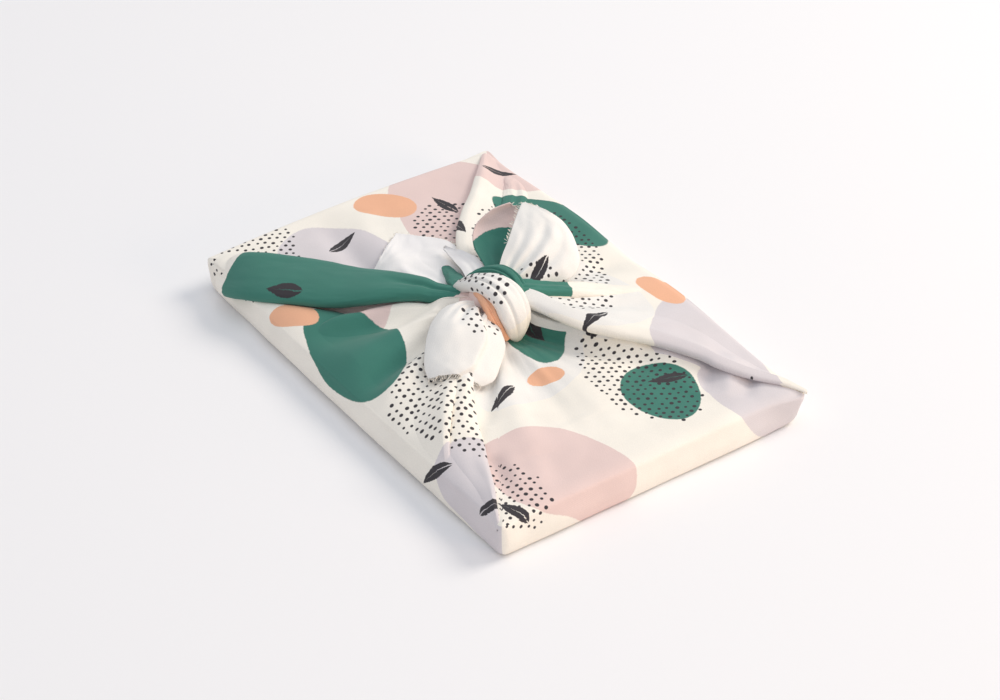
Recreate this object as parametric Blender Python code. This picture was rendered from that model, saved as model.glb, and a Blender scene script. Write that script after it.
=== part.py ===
"""A furoshiki wrap: one square of thin cotton tied around a hardback book.

The cloth lies square under the book. Its four corners are drawn over the book's corners to a knot in
the middle of the top, where three free ends are left. It is one cloth, so it is one solid, with the
outer form of the filled parcel: four flaps tented up to the knot, the folds and rolled hems that run
from the corners, the knot and its ends.

Model units are metres, +Z is up, +X runs along the long side. The origin is the bottom centre of the
parcel. Sizes below are in millimetres and degrees.
"""

import math

import bmesh
import bpy
from mathutils import Vector

MM = 0.001

# The parcel, measured over the cloth.
LENGTH = 246.0
WIDTH = 161.0
BOOK_TOP = 17.5
CORNER_RADIUS = 4.0
KNOT = (3.0, -1.0)

# How many points the parcel has along a long side, a short side and a corner's arc.
LONG_STEPS = 28
SHORT_STEPS = 18
ARC_STEPS = 2

HALF_LENGTH = LENGTH / 2
HALF_WIDTH = WIDTH / 2
CORNERS = {
    "left": (-HALF_LENGTH, -HALF_WIDTH),
    "near": (HALF_LENGTH, -HALF_WIDTH),
    "right": (HALF_LENGTH, HALF_WIDTH),
    "far": (-HALF_LENGTH, HALF_WIDTH),
}

# The side wall from the flat bottom to the top edge: share of the height, how far the cloth stands
# out from the parcel's outline, and how much of the side's belly and of the corner's ear it has there.
WALL = (
    # height, out, belly, ear
    (0.00, -1.8, 0.00, -0.40),
    (0.07, -0.6, 0.25, -0.20),
    (0.27, 0.0, 0.70, 0.10),
    (0.52, 0.0, 1.00, 0.40),
    (0.77, 0.0, 0.95, 0.80),
    (0.93, -0.3, 0.80, 1.00),
    (1.00, -1.5, 0.55, 0.95),
)

# How far each side's cloth bellies out past the outline, how far its top edge stands up over the
# book's edge, where that is along the side, as a share of the side from its first corner, and the
# share of the side that it spreads over.
BELLIES = {
    "near_left": (3.2, 1.0, 0.50, 0.42),
    "near_right": (0.5, 0.3, 0.50, 0.40),
    "far_right": (3.4, 3.0, 0.55, 0.50),
    "far_left": (1.6, 2.6, 0.50, 0.45),
}

# The ears: how far the gathered cloth sticks out of each corner, along the diagonal.
EARS = {"left": 0.8, "near": 1.4, "right": 4.0, "far": 5.0}
EAR_REACH = 13.0

# The rings of the top, as shares of the way from the top edge to the knot. The creases of the flaps
# fade in over the first share of it.
TOP_RINGS = (0.03, 0.09, 0.17, 0.25, 0.33, 0.41, 0.49, 0.57, 0.65, 0.72, 0.79, 0.86, 0.93)
CREASE_FADE = 0.15

# How each flap climbs from the book's edge to the knot. The bearing is seen from the knot, with 0
# along +X. The right-hand flap stays low, and its neighbours' edges stand over it.
FLAPS = (
    # bearing, climb, power
    (-46.0, 14.0, 1.10),
    (-39.0, 4.0, 1.60),
    (-20.0, 2.5, 2.00),
    (15.0, 2.5, 2.00),
    (31.0, 3.5, 1.80),
    (36.0, 16.0, 0.95),
    (60.0, 16.0, 0.95),
    (90.0, 15.0, 1.00),
    (120.0, 13.5, 1.10),
    (146.0, 12.0, 1.20),
    (153.0, 8.0, 1.40),
    (180.0, 8.0, 1.60),
    (207.0, 9.0, 1.50),
    (240.0, 12.0, 1.35),
    (270.0, 15.0, 1.20),
    (300.0, 15.0, 1.10),
)
# From this share of the way on, all the flaps turn towards one height under the knot.
POLE_BLEND = 0.88
POLE_CLIMB = 13.0

# Soft troughs and ridges in the flaps: from a point near the knot to a point near the edge, where
# they run out, the half-width at each end, and the depth, which is negative for a trough.
CREASES = (
    # x, y, to x, to y, width, to width, depth
    (-18.0, -24.0, -24.0, -72.0, 4.0, 9.0, -2.4),
    (-6.0, -26.0, 8.0, -74.0, 4.0, 10.0, 2.2),
    (4.0, -28.0, 44.0, -74.0, 3.5, 7.0, -2.6),
    (36.0, -32.0, 96.0, -74.0, 3.5, 5.0, -2.0),
    (-30.0, -14.0, -78.0, 28.0, 4.0, 9.0, -1.2),
    (-14.0, 18.0, -36.0, 78.0, 4.0, 9.0, -2.0),
    (24.0, 22.0, 46.0, 78.0, 4.0, 8.0, -2.6),
    (32.0, 22.0, 98.0, 62.0, 4.0, 6.0, 1.4),
    (30.0, -12.0, 92.0, -34.0, 4.0, 9.0, 0.9),
    (112.0, -52.0, 84.0, -38.0, 5.0, 3.0, -0.9),
)

# The folds that run from the parcel's corners and edges to the knot, and the ends beyond it. Each is
# a strip with an oval section. A row is one section: how far along the strip's line it is, as a share
# of the line, how far left of the line, how high, its width and thickness, how far its left side is
# tipped up, and how far its middle is raised above its sides. The height is over the flap below it,
# or over the book's top face for a strip marked as free.
LEFT_ROLL = (
    # share, left, rise, width, thick, tip, crown
    (0.010, -0.4, -7.5, 8.0, 4.6, 58.0, 0.0),
    (0.050, -2.6, -4.0, 16.0, 6.6, 46.0, 0.0),
    (0.120, -5.2, -0.8, 22.5, 8.2, 32.0, 0.0),
    (0.210, -6.5, 1.4, 27.5, 9.5, 20.0, 0.5),
    (0.340, -5.0, 2.4, 29.0, 10.0, 13.0, 0.8),
    (0.480, -3.3, 3.0, 27.5, 10.0, 9.0, 0.8),
    (0.600, -2.0, 3.4, 24.0, 9.5, 6.0, 0.5),
    (0.700, -0.5, 3.8, 19.5, 9.0, 4.0, 0.0),
    (0.800, 1.5, 4.0, 14.0, 8.5, 2.0, 0.0),
    (0.880, 2.2, 4.0, 10.5, 8.0, 0.0, 0.0),
    (0.950, 1.5, 3.0, 9.0, 7.5, 0.0, 0.0),
)
RIGHT_HEM = (
    (0.005, 0.0, -4.0, 6.5, 5.5, 0.0, 0.0),
    (0.050, -1.4, -1.2, 8.5, 6.0, 0.0, 0.0),
    (0.130, -2.8, 1.6, 10.5, 6.2, 0.0, 0.0),
    (0.260, -4.2, 4.3, 12.0, 6.5, -2.0, 0.0),
    (0.400, -5.2, 6.8, 13.5, 6.8, -6.0, 0.0),
    (0.510, -5.9, 8.8, 14.5, 7.2, -10.0, 0.0),
    (0.640, -6.4, 11.2, 15.0, 7.6, -13.0, 0.5),
    (0.730, -6.0, 13.0, 15.0, 8.2, -14.0, 0.5),
    (0.810, -5.5, 14.4, 14.5, 9.0, -12.0, 0.5),
    (0.900, -3.0, 15.2, 12.5, 10.0, -8.0, 0.0),
    (0.960, -1.0, 15.0, 10.0, 10.0, 0.0, 0.0),
)
NEAR_EDGE = (
    (0.010, 0.8, -3.5, 3.0, 3.0, 0.0, 0.0),
    (0.060, 3.4, -0.8, 5.5, 3.2, 4.0, 0.0),
    (0.150, 7.6, -0.2, 9.5, 3.6, 5.0, 0.0),
    (0.290, 12.0, 0.2, 14.0, 4.0, 7.0, 0.0),
    (0.470, 14.8, 0.5, 16.5, 4.4, 8.0, 0.0),
    (0.630, 15.3, 0.8, 17.0, 4.8, 8.0, 0.0),
    (0.790, 10.0, 1.2, 13.0, 5.2, 6.0, 0.0),
    (0.910, 3.0, 1.6, 9.0, 6.0, 0.0, 0.0),
)
NEAR_FOLD = (
    (0.060, 0.0, -2.6, 8.0, 4.6, -4.0, 0.0),
    (0.160, 0.5, -1.2, 13.0, 5.8, -8.0, 0.0),
    (0.300, 0.5, 0.2, 15.0, 6.4, -9.0, 0.0),
    (0.450, 0.0, 1.0, 14.5, 6.6, -9.0, 0.0),
    (0.600, -1.0, 1.6, 13.0, 6.8, -6.0, 0.0),
    (0.750, -1.5, 1.8, 11.5, 7.0, 0.0, 0.0),
    (0.900, -0.5, 1.6, 9.0, 7.0, 0.0, 0.0),
)
FAR_RIDGE = (
    (0.005, 0.4, -4.0, 6.0, 6.0, 0.0, 0.0),
    (0.070, 0.3, -1.2, 11.0, 6.8, 0.0, 0.0),
    (0.200, -0.3, 0.0, 16.0, 7.0, 0.0, 0.0),
    (0.360, -2.6, 0.4, 19.0, 7.4, 0.0, 0.0),
    (0.510, -6.0, 0.8, 20.0, 7.8, 0.0, 0.0),
    (0.640, -7.8, 1.4, 19.0, 8.2, 0.0, 0.0),
    (0.780, -6.5, 2.0, 16.0, 8.8, 0.0, 0.0),
    (0.900, -2.5, 2.4, 11.0, 9.0, 0.0, 0.0),
)
FAR_FOLD = (
    (0.130, 9.0, -1.8, 6.0, 4.8, 0.0, 0.0),
    (0.200, 11.0, -0.8, 9.0, 5.6, 0.0, 0.0),
    (0.300, 13.0, 0.0, 12.0, 6.0, 0.0, 0.0),
    (0.450, 10.5, 0.6, 12.5, 6.4, 0.0, 0.0),
    (0.600, 7.5, 1.4, 12.0, 7.4, 0.0, 0.0),
    (0.750, 4.0, 2.2, 11.0, 8.4, 0.0, 0.0),
    (0.880, 1.0, 2.6, 9.5, 9.0, 0.0, 0.0),
)
UPPER_FOLD = (
    (0.160, 6.5, -1.6, 6.0, 4.0, 0.0, 0.0),
    (0.320, 4.6, -0.4, 9.0, 5.4, 0.0, 0.0),
    (0.500, 2.4, 0.8, 11.0, 6.8, 0.0, 0.0),
    (0.660, 0.8, 2.0, 12.0, 8.0, 0.0, 0.0),
    (0.820, 0.0, 3.0, 11.0, 9.0, 0.0, 0.0),
    (0.920, 0.0, 3.0, 9.0, 9.0, 0.0, 0.0),
)

# The strips' lines in plan: from where to where.
NEAR_FOLD_START = (86.0, -HALF_WIDTH)
FAR_SIDE_POINT = (20.0, HALF_WIDTH)
STRIPS = (
    # name, from, rows, free, points around
    ("left_roll", CORNERS["left"], LEFT_ROLL, False, 16),
    ("right_hem", CORNERS["right"], RIGHT_HEM, True, 16),
    ("near_edge", CORNERS["near"], NEAR_EDGE, False, 12),
    ("near_fold", NEAR_FOLD_START, NEAR_FOLD, False, 12),
    ("far_ridge", CORNERS["far"], FAR_RIDGE, False, 12),
    ("far_fold", CORNERS["far"], FAR_FOLD, False, 12),
    ("upper_fold", FAR_SIDE_POINT, UPPER_FOLD, False, 12),
)

# The free ends. A row holds the two edges of the cloth, each seen from the knot on the book's top
# face, the thickness, and how far the middle is raised above the edges. The heights of an end that
# is laid on the flaps are over the flap instead.
FRONT_END = (
    # left x, y, z, right x, y, z, thick, crown
    (-7.0, -9.0, 15.0, 5.0, -11.0, 15.0, 6.0, 0.0),
    (-7.0, -19.0, 18.0, 11.0, -11.5, 17.0, 3.0, 1.5),
    (-1.0, -30.0, 17.5, 20.0, -12.0, 15.0, 2.2, 2.4),
    (5.0, -39.0, 15.2, 28.0, -14.5, 12.8, 2.0, 3.0),
    (11.5, -45.5, 12.6, 35.0, -21.0, 10.8, 2.0, 3.0),
    (18.5, -50.5, 9.8, 40.5, -28.0, 9.0, 2.0, 2.6),
    (26.5, -53.0, 7.4, 42.0, -35.0, 7.6, 2.0, 2.0),
)
BACK_LEAF = (
    (-15.0, 9.0, 14.0, -4.0, 13.0, 15.0, 7.0, 0.0),
    (-24.0, 11.5, 15.0, -8.0, 21.0, 18.0, 3.4, 0.0),
    (-37.0, 15.0, 16.5, -14.0, 30.0, 19.5, 2.2, -1.5),
    (-45.0, 21.0, 20.5, -18.0, 37.0, 21.0, 2.0, -3.0),
    (-45.5, 30.0, 25.5, -22.0, 44.0, 23.5, 2.0, -3.0),
    (-42.0, 39.0, 28.5, -28.0, 48.0, 26.5, 2.0, -2.0),
)
BACK_LOBE = (
    (-12.0, 10.0, 18.0, 0.0, 13.0, 15.0, 7.0, 0.0),
    (-18.0, 17.0, 22.0, 3.0, 20.0, 15.0, 3.4, 1.5),
    (-23.0, 24.0, 25.0, 6.0, 29.0, 15.5, 2.2, 3.5),
    (-29.0, 31.0, 27.5, 7.5, 38.0, 17.5, 2.0, 4.5),
    (-35.0, 38.0, 29.0, 3.0, 46.0, 20.5, 2.0, 4.5),
    (-38.5, 43.5, 29.5, -9.0, 51.0, 24.5, 2.0, 3.5),
    (-33.0, 47.0, 29.8, -21.0, 51.0, 28.5, 2.0, 1.5),
)
LEFT_END = (
    (-15.0, -6.0, 2.0, -16.0, 7.0, 2.0, 7.0, 0.0),
    (-30.0, -9.0, 1.2, -32.0, 13.0, 1.6, 4.0, 0.4),
    (-45.0, -15.0, 0.8, -49.0, 16.0, 1.0, 3.2, 0.0),
    (-58.0, -20.0, 0.7, -65.0, 17.0, 0.8, 3.0, 0.0),
    (-65.0, -21.0, 0.7, -77.0, 9.0, 0.7, 3.0, 0.0),
    (-70.0, -17.0, 0.7, -84.5, 1.0, 0.7, 3.0, 0.0),
)
FREE_ENDS = (
    # name, rows, laid on the flaps, points around
    ("front_end", FRONT_END, False, 20),
    ("back_leaf", BACK_LEAF, False, 20),
    ("back_lobe", BACK_LOBE, False, 20),
    ("left_end", LEFT_END, True, 20),
)

# The strips and ends have this many sections from row to row, with an oval section a little squarer
# than an ellipse, whose own power is 2.
ROWS_BETWEEN = 2
STRIP_SQUARENESS = 2.4

# The knot: a ball of cloth, the strand that crosses over it, and the strand round its back. A row is
# one section of a strand, placed from the knot's middle on the book's top face.
KNOT_BALL = {"centre": (-1.0, -1.0, 12.5), "radii": (14.5, 12.5, 12.0), "around": 20, "rings": 12}
OVER_STRAND = (
    # x, y, z, width, thick
    (-19.0, -6.5, 8.0, 11.0, 8.0),
    (-16.5, -6.5, 15.0, 13.5, 8.0),
    (-9.0, -5.0, 21.0, 15.5, 8.5),
    (1.0, -3.0, 24.2, 17.5, 9.0),
    (10.5, -1.5, 22.0, 18.0, 9.0),
    (16.0, -1.0, 15.5, 17.0, 9.0),
    (16.5, -2.0, 8.0, 14.5, 8.5),
    (13.5, -3.5, 2.5, 11.0, 8.0),
)
BACK_STRAND = (
    (-21.0, -2.0, 8.0, 9.0, 8.0),
    (-18.5, 5.0, 14.0, 10.0, 8.5),
    (-10.0, 10.5, 18.5, 11.0, 9.0),
    (1.0, 12.5, 18.5, 11.0, 9.0),
    (10.0, 10.5, 14.5, 11.0, 9.0),
    (15.0, 6.0, 8.0, 10.0, 8.0),
)
KNOT_STRANDS = (("over_strand", OVER_STRAND), ("back_strand", BACK_STRAND))
STRAND_AROUND = 14
# The way across a strand of the knot, before it is turned square to the strand.
STRAND_SIDE = Vector((-0.1, 1.0, 0.0))


def between(rows, place):
    """A row read off a smooth curve through the rows, at a place counted in rows."""
    last = len(rows) - 1
    first = min(int(place), last - 1)
    t = place - first
    before, here, there, after = (rows[min(max(first + k, 0), last)] for k in (-1, 0, 1, 2))
    mixed = []
    for a, b, c, d in zip(before, here, there, after):
        bend = (2 * a - 5 * b + 4 * c - d) * t + (3 * b - a - 3 * c + d) * t * t
        mixed.append(b + 0.5 * t * (c - a + bend))
    return mixed


def by_bearing(bearing):
    """The climb and the power of the flap at a bearing from the knot."""
    first = FLAPS[0][0]
    bearing = (bearing - first) % 360 + first
    rows = FLAPS + ((first + 360,) + FLAPS[0][1:],)
    for low, high in zip(rows, rows[1:]):
        if bearing <= high[0]:
            share = (bearing - low[0]) / (high[0] - low[0])
            return tuple(a + share * (b - a) for a, b in zip(low[1:], high[1:]))
    return rows[-1][1:]


def crease_depth(x, y):
    """How far the soft creases raise or lower the flaps at a point of the plan."""
    total = 0.0
    for x0, y0, x1, y1, width0, width1, depth in CREASES:
        along_x, along_y = x1 - x0, y1 - y0
        share = ((x - x0) * along_x + (y - y0) * along_y) / (along_x**2 + along_y**2)
        held = min(max(share, 0.0), 1.0)
        away = math.hypot(x - x0 - held * along_x, y - y0 - held * along_y)
        width = width0 + held * (width1 - width0)
        total += depth * math.exp(-((away / width) ** 2)) * math.cos(0.5 * math.pi * held) ** 0.5
    return total


def flap_rise(bearing, share, x, y, edge_lift):
    """The flaps' height over the book's top, at a share of the way from the edge to the knot."""
    climb, power = by_bearing(bearing)
    near_pole = max(0.0, (share - POLE_BLEND) / (1 - POLE_BLEND))
    climb += (POLE_CLIMB - climb) * near_pole**2
    fade = min(1.0, share / CREASE_FADE) * (1 - near_pole)
    return climb * share**power + crease_depth(x, y) * fade + edge_lift * (1 - share) ** 3


def edge_distance(dx, dy):
    """How far the parcel's edge is from the knot along a direction in plan."""
    reach_x = (math.copysign(HALF_LENGTH, dx) - KNOT[0]) / dx if abs(dx) > 1e-9 else math.inf
    reach_y = (math.copysign(HALF_WIDTH, dy) - KNOT[1]) / dy if abs(dy) > 1e-9 else math.inf
    return min(reach_x, reach_y)


def flap_top(x, y):
    """The height of the flaps over a point of the plan, or the book's top outside them."""
    away_x, away_y = x - KNOT[0], y - KNOT[1]
    away = max(math.hypot(away_x, away_y), 1e-6)
    share = 1 - away / edge_distance(away_x / away, away_y / away)
    if share <= 0:
        return BOOK_TOP
    return BOOK_TOP + flap_rise(math.degrees(math.atan2(away_y, away_x)), share, x, y, 0.0)


def outline():
    """The parcel's outline in plan, counter-clockwise: a point, its outward direction, its side's
    belly, the lift of its top edge and the corners' ear there."""
    names = ("near", "right", "far", "left")
    sides = ("near_right", "far_right", "far_left", "near_left")
    points = []
    for name, side, turn in zip(names, sides, (-90, 0, 90, 180)):
        after = names[(names.index(name) + 1) % 4]
        corner = Vector(CORNERS[name])
        inward = Vector((-math.copysign(1, corner.x), -math.copysign(1, corner.y)))
        centre = corner + inward * CORNER_RADIUS
        for step in range(ARC_STEPS + 1):
            angle = math.radians(turn + 90 * step / ARC_STEPS)
            out = Vector((math.cos(angle), math.sin(angle)))
            points.append((centre + out * CORNER_RADIUS, out, 0.0, 0.0))
        start = points[-1][0]
        end_corner = Vector(CORNERS[after])
        along = (end_corner - corner).normalized()
        length = (end_corner - corner).length - 2 * CORNER_RADIUS
        steps = LONG_STEPS if length > WIDTH else SHORT_STEPS
        belly, lift, middle, spread = BELLIES[side]
        out = Vector((along.y, -along.x))
        for step in range(1, steps):
            share = step / steps
            swell = math.exp(-(((share - middle) / spread) ** 2) * 2)
            swell *= math.sin(math.pi * share) ** 0.5
            points.append((start + along * length * share, out, belly * swell, lift * swell))
    return [row + (ear_at(row[0]),) for row in points]


def ear_at(point):
    """The pull of the nearest corner's ear on a point of the outline, along the diagonal."""
    pull = Vector((0.0, 0.0))
    for name, corner in CORNERS.items():
        away = (point - Vector(corner)).length
        diagonal = Vector((math.copysign(1, corner[0]), math.copysign(1, corner[1]))).normalized()
        pull += diagonal * EARS[name] * math.exp(-((away / EAR_REACH) ** 2))
    return pull


def new_object(name, bm, collection, material):
    """An object made of a bmesh, in metres and shaded smooth."""
    bmesh.ops.scale(bm, vec=(MM, MM, MM), verts=bm.verts)
    bmesh.ops.recalc_face_normals(bm, faces=bm.faces)
    mesh = bpy.data.meshes.new(name)
    bm.to_mesh(mesh)
    bm.free()
    mesh.shade_smooth()
    mesh.materials.append(material)
    thing = bpy.data.objects.new(name, mesh)
    collection.objects.link(thing)
    return thing


def ball(around, rings):
    """A UV sphere, and for each point its ring, counted from the bottom, and its place around."""
    bm = bmesh.new()
    bmesh.ops.create_uvsphere(bm, u_segments=around, v_segments=rings, radius=1.0)
    places = []
    for point in bm.verts:
        ring = round((0.5 + math.asin(max(-1.0, min(1.0, point.co.z))) / math.pi) * rings)
        turn = round(math.atan2(point.co.y, point.co.x) / math.tau * around) % around
        places.append((point, ring, turn))
    return bm, places


def parcel(collection, material):
    """The filled parcel: a ball drawn out into a flat bottom, side walls and four tented flaps."""
    rim = outline()
    rings = len(WALL) + len(TOP_RINGS) + 1
    bm, places = ball(len(rim), rings)
    for point, ring, turn in places:
        base, out, belly, lift, ear = rim[turn]
        if ring == 0:
            point.co = (0.0, 0.0, 0.0)
        elif ring <= len(WALL):
            height, stand, belly_share, ear_share = WALL[ring - 1]
            at = base + out * (stand + belly * belly_share) + ear * ear_share
            point.co = (at.x, at.y, BOOK_TOP * height + lift * height**2)
        else:
            share = 1.0 if ring == rings else TOP_RINGS[ring - len(WALL) - 1]
            height, stand, belly_share, ear_share = WALL[-1]
            edge = base + out * (stand + belly * belly_share) + ear * ear_share
            at = edge.lerp(Vector(KNOT), share)
            bearing = math.degrees(math.atan2(edge.y - KNOT[1], edge.x - KNOT[0]))
            point.co = (at.x, at.y, BOOK_TOP + flap_rise(bearing, share, at.x, at.y, lift))
    return new_object("furoshiki_cloth", bm, collection, material)


def sweep(name, sections, around, collection, material):
    """A strip drawn along its sections: middle, the way across it, the way up, width, thickness and
    crown of each."""
    bm, places = ball(around, len(sections) + 1)
    for point, ring, turn in places:
        middle, across, up, width, thick, crown = sections[min(max(ring - 1, 0), len(sections) - 1)]
        if ring in (0, len(sections) + 1):
            point.co = middle + up * crown
            continue
        angle = math.tau * turn / around
        flat, tall = (
            math.copysign(abs(part) ** (2 / STRIP_SQUARENESS), part)
            for part in (math.cos(angle), math.sin(angle))
        )
        lift = tall * thick / 2 + crown * (1 - flat**2)
        point.co = middle + across * flat * width / 2 + up * lift
    return new_object(name, bm, collection, material)


def along_at(middles, at):
    """The direction of a line of points at one of them."""
    return (middles[min(at + 1, len(middles) - 1)] - middles[max(at - 1, 0)]).normalized()


def smoothed(rows):
    """The rows, with sections between them on smooth curves."""
    steps = (len(rows) - 1) * ROWS_BETWEEN
    return [between(rows, step / ROWS_BETWEEN) for step in range(steps + 1)]


def turned(along, side_hint, tip):
    """The directions across and up a section, with its left side tipped up."""
    side = (side_hint - along * side_hint.dot(along)).normalized()
    up = along.cross(side)
    lean = math.radians(tip)
    return side * math.cos(lean) + up * math.sin(lean), up * math.cos(lean) - side * math.sin(lean)


def strip(name, start, rows, free, around, collection, material):
    """A fold from an edge of the parcel to the knot, laid on the flaps or set over the book."""
    start = Vector(start)
    line = Vector(KNOT) - start
    left = Vector((-line.y, line.x)).normalized()
    table = smoothed(rows)
    middles = []
    for share, aside, rise, *_ in table:
        at = start + line * share + left * aside
        ground = BOOK_TOP if free else flap_top(at.x, at.y)
        middles.append(Vector((at.x, at.y, ground + rise)))
    sections = []
    for at, (_, _, _, width, thick, tip, crown) in enumerate(table):
        across, up = turned(along_at(middles, at), left.to_3d(), tip)
        sections.append((middles[at], across, up, width, thick, crown))
    return sweep(name, sections, around, collection, material)


def free_end(name, rows, laid, around, collection, material):
    """A free end of the cloth beyond the knot, drawn between its two edges."""
    edges = []
    for row in smoothed(rows):
        pair = [Vector((KNOT[0], KNOT[1], BOOK_TOP)) + Vector(row[k:k + 3]) for k in (0, 3)]
        for edge in pair:
            edge.z += flap_top(edge.x, edge.y) - BOOK_TOP if laid else 0.0
        edges.append((pair[0], pair[1], row[6], row[7]))
    middles = [(left + right) / 2 for left, right, _, _ in edges]
    sections = []
    for at, (left, right, thick, crown) in enumerate(edges):
        across = left - right
        along = along_at(middles, at)
        up = along.cross(across).normalized()
        if up.z < 0:
            across, up = -across, -up
        sections.append((middles[at], across.normalized(), up, across.length, thick, crown))
    return sweep(name, sections, around, collection, material)


def knot_strand(name, rows, collection, material):
    """A strand of the knot, over its ball."""
    knot = Vector((KNOT[0], KNOT[1], BOOK_TOP))
    table = smoothed(rows)
    middles = [knot + Vector(row[0:3]) for row in table]
    sections = []
    for at, (_, _, _, width, thick) in enumerate(table):
        across, up = turned(along_at(middles, at), STRAND_SIDE, 0.0)
        sections.append((middles[at], across, up, width, thick, 0.0))
    return sweep(name, sections, STRAND_AROUND, collection, material)


def knot_ball(collection, material):
    """The body of the knot, under its strands."""
    bm, _ = ball(KNOT_BALL["around"], KNOT_BALL["rings"])
    bmesh.ops.scale(bm, vec=KNOT_BALL["radii"], verts=bm.verts)
    x, y, z = KNOT_BALL["centre"]
    bmesh.ops.translate(bm, vec=(KNOT[0] + x, KNOT[1] + y, BOOK_TOP + z), verts=bm.verts)
    return new_object("knot_ball", bm, collection, material)


def cotton():
    """Printed cotton: cream, dull and soft."""
    material = bpy.data.materials.new("printed_cotton")
    material.use_nodes = True
    shader = material.node_tree.nodes["Principled BSDF"]
    shader.inputs["Base Color"].default_value = (0.86, 0.82, 0.75, 1.0)
    shader.inputs["Roughness"].default_value = 0.9
    shader.inputs["Metallic"].default_value = 0.0
    return material


def new_collection(name):
    """A collection in the scene."""
    collection = bpy.data.collections.new(name)
    bpy.context.scene.collection.children.link(collection)
    return collection


def fill_pockets(body):
    """Applies the union, and fills the pockets that it seals off inside: only the outer skin stays."""
    graph = bpy.context.evaluated_depsgraph_get()
    joined = bpy.data.meshes.new_from_object(body.evaluated_get(graph))
    body.modifiers.clear()
    body.data = joined
    bm = bmesh.new()
    bm.from_mesh(joined)
    islands = []
    left = set(bm.verts)
    while left:
        island = {left.pop()}
        newly_found = list(island)
        while newly_found:
            point = newly_found.pop()
            for edge in point.link_edges:
                other = edge.other_vert(point)
                if other not in island:
                    island.add(other)
                    newly_found.append(other)
        left -= island
        islands.append(island)
    islands.sort(key=len)
    for pocket in islands[:-1]:
        bmesh.ops.delete(bm, geom=list(pocket), context="VERTS")
    bm.to_mesh(joined)
    bm.free()


def build():
    """The parcel, with its folds, knot and ends joined on."""
    for thing in list(bpy.data.objects):
        bpy.data.objects.remove(thing, do_unlink=True)
    wrap = new_collection("furoshiki_wrap")
    folds = new_collection("folds_and_knot")
    material = cotton()
    body = parcel(wrap, material)
    for name, start, rows, free, around in STRIPS:
        strip(name, start, rows, free, around, folds, material)
    for name, rows, laid, around in FREE_ENDS:
        free_end(name, rows, laid, around, folds, material)
    for name, rows in KNOT_STRANDS:
        knot_strand(name, rows, folds, material)
    knot_ball(folds, material)
    for fold in folds.objects:
        fold.hide_render = True
        fold.display_type = "WIRE"
    join = body.modifiers.new("join_folds", "BOOLEAN")
    join.operation = "UNION"
    join.solver = "EXACT"
    join.operand_type = "COLLECTION"
    join.collection = folds
    fill_pockets(body)


build()
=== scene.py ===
"""A furoshiki wrap: one square of printed cotton tied round a book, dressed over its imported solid.

All sizes are in millimetres and degrees, and meshes are scaled to metres as they are made. +X runs
along the parcel's long side, and the four corners are called left, near, right and far.
"""

import math

import bpy
import numpy as np
from mathutils import Matrix, Vector, noise


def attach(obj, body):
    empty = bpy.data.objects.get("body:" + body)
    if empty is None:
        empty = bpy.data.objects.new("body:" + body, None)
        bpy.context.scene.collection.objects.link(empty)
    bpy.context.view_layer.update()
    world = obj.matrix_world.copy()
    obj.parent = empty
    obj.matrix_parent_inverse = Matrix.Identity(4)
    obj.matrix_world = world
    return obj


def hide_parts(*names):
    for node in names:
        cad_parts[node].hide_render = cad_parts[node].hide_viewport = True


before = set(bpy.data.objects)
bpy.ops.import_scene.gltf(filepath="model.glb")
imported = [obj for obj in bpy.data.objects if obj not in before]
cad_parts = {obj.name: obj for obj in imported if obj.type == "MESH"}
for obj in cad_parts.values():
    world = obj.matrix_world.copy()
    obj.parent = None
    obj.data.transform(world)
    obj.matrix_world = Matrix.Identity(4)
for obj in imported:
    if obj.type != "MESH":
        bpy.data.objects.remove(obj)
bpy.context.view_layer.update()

# --- The camera ----------------------------------------------------------------------------------
# It looks down over the near corner with a long lens, so that the parcel's sides stay close to
# parallel. It is turned a degree about its own axis.
def new_object(name, data):
    """An object of that data, put in the scene."""
    made = bpy.data.objects.new(name, data)
    bpy.context.scene.collection.objects.link(made)
    return made


CAMERA_AZIMUTH, CAMERA_ELEVATION, CAMERA_ROLL = (math.radians(a) for a in (-34.06, 36.19, -1.02))
CAMERA_TARGET = Vector((0.000148, 0.003629, 0.0))
CAMERA_DISTANCE = 1.26407
camera = new_object("camera", bpy.data.cameras.new("camera"))
camera.data.sensor_width = 36.0
camera.data.lens = 98.47
low = math.cos(CAMERA_ELEVATION)
back = (math.cos(CAMERA_AZIMUTH) * low, math.sin(CAMERA_AZIMUTH) * low, math.sin(CAMERA_ELEVATION))
back = Vector(back)
level = Vector((-math.sin(CAMERA_AZIMUTH), math.cos(CAMERA_AZIMUTH), 0.0))
upright = back.cross(level)
turned_level = level * math.cos(CAMERA_ROLL) + upright * math.sin(CAMERA_ROLL)
turned_upright = upright * math.cos(CAMERA_ROLL) - level * math.sin(CAMERA_ROLL)
turn = Matrix((turned_level, turned_upright, back)).transposed().to_4x4()
camera.matrix_world = Matrix.Translation(CAMERA_TARGET + back * CAMERA_DISTANCE) @ turn
bpy.context.scene.camera = camera


# --- The studio ----------------------------------------------------------------------------------
# A matt white table that the parcel lies on, a wide soft light behind it on the right, a weak one
# overhead, warm ones low on the right and left, and an even pale room around them.
def linear(colour):
    """An sRGB hex colour as linear light, with alpha."""
    parts = [int(colour[k : k + 2], 16) / 255 for k in (1, 3, 5)]
    return tuple(p / 12.92 if p <= 0.04045 else ((p + 0.055) / 1.055) ** 2.4 for p in parts) + (1.0,)


def add(tree, kind, links, operation=None, **settings):
    """A node with its operation, its settings, its values and its links; gives its outputs."""
    node = tree.nodes.new(kind)
    if operation:
        node.operation = operation
    for key, value in settings.items():
        setattr(node, key, value)
    for key, value in links.items():
        if isinstance(value, bpy.types.NodeSocket):
            tree.links.new(value, node.inputs[key])
        else:
            node.inputs[key].default_value = value
    return node.outputs


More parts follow.
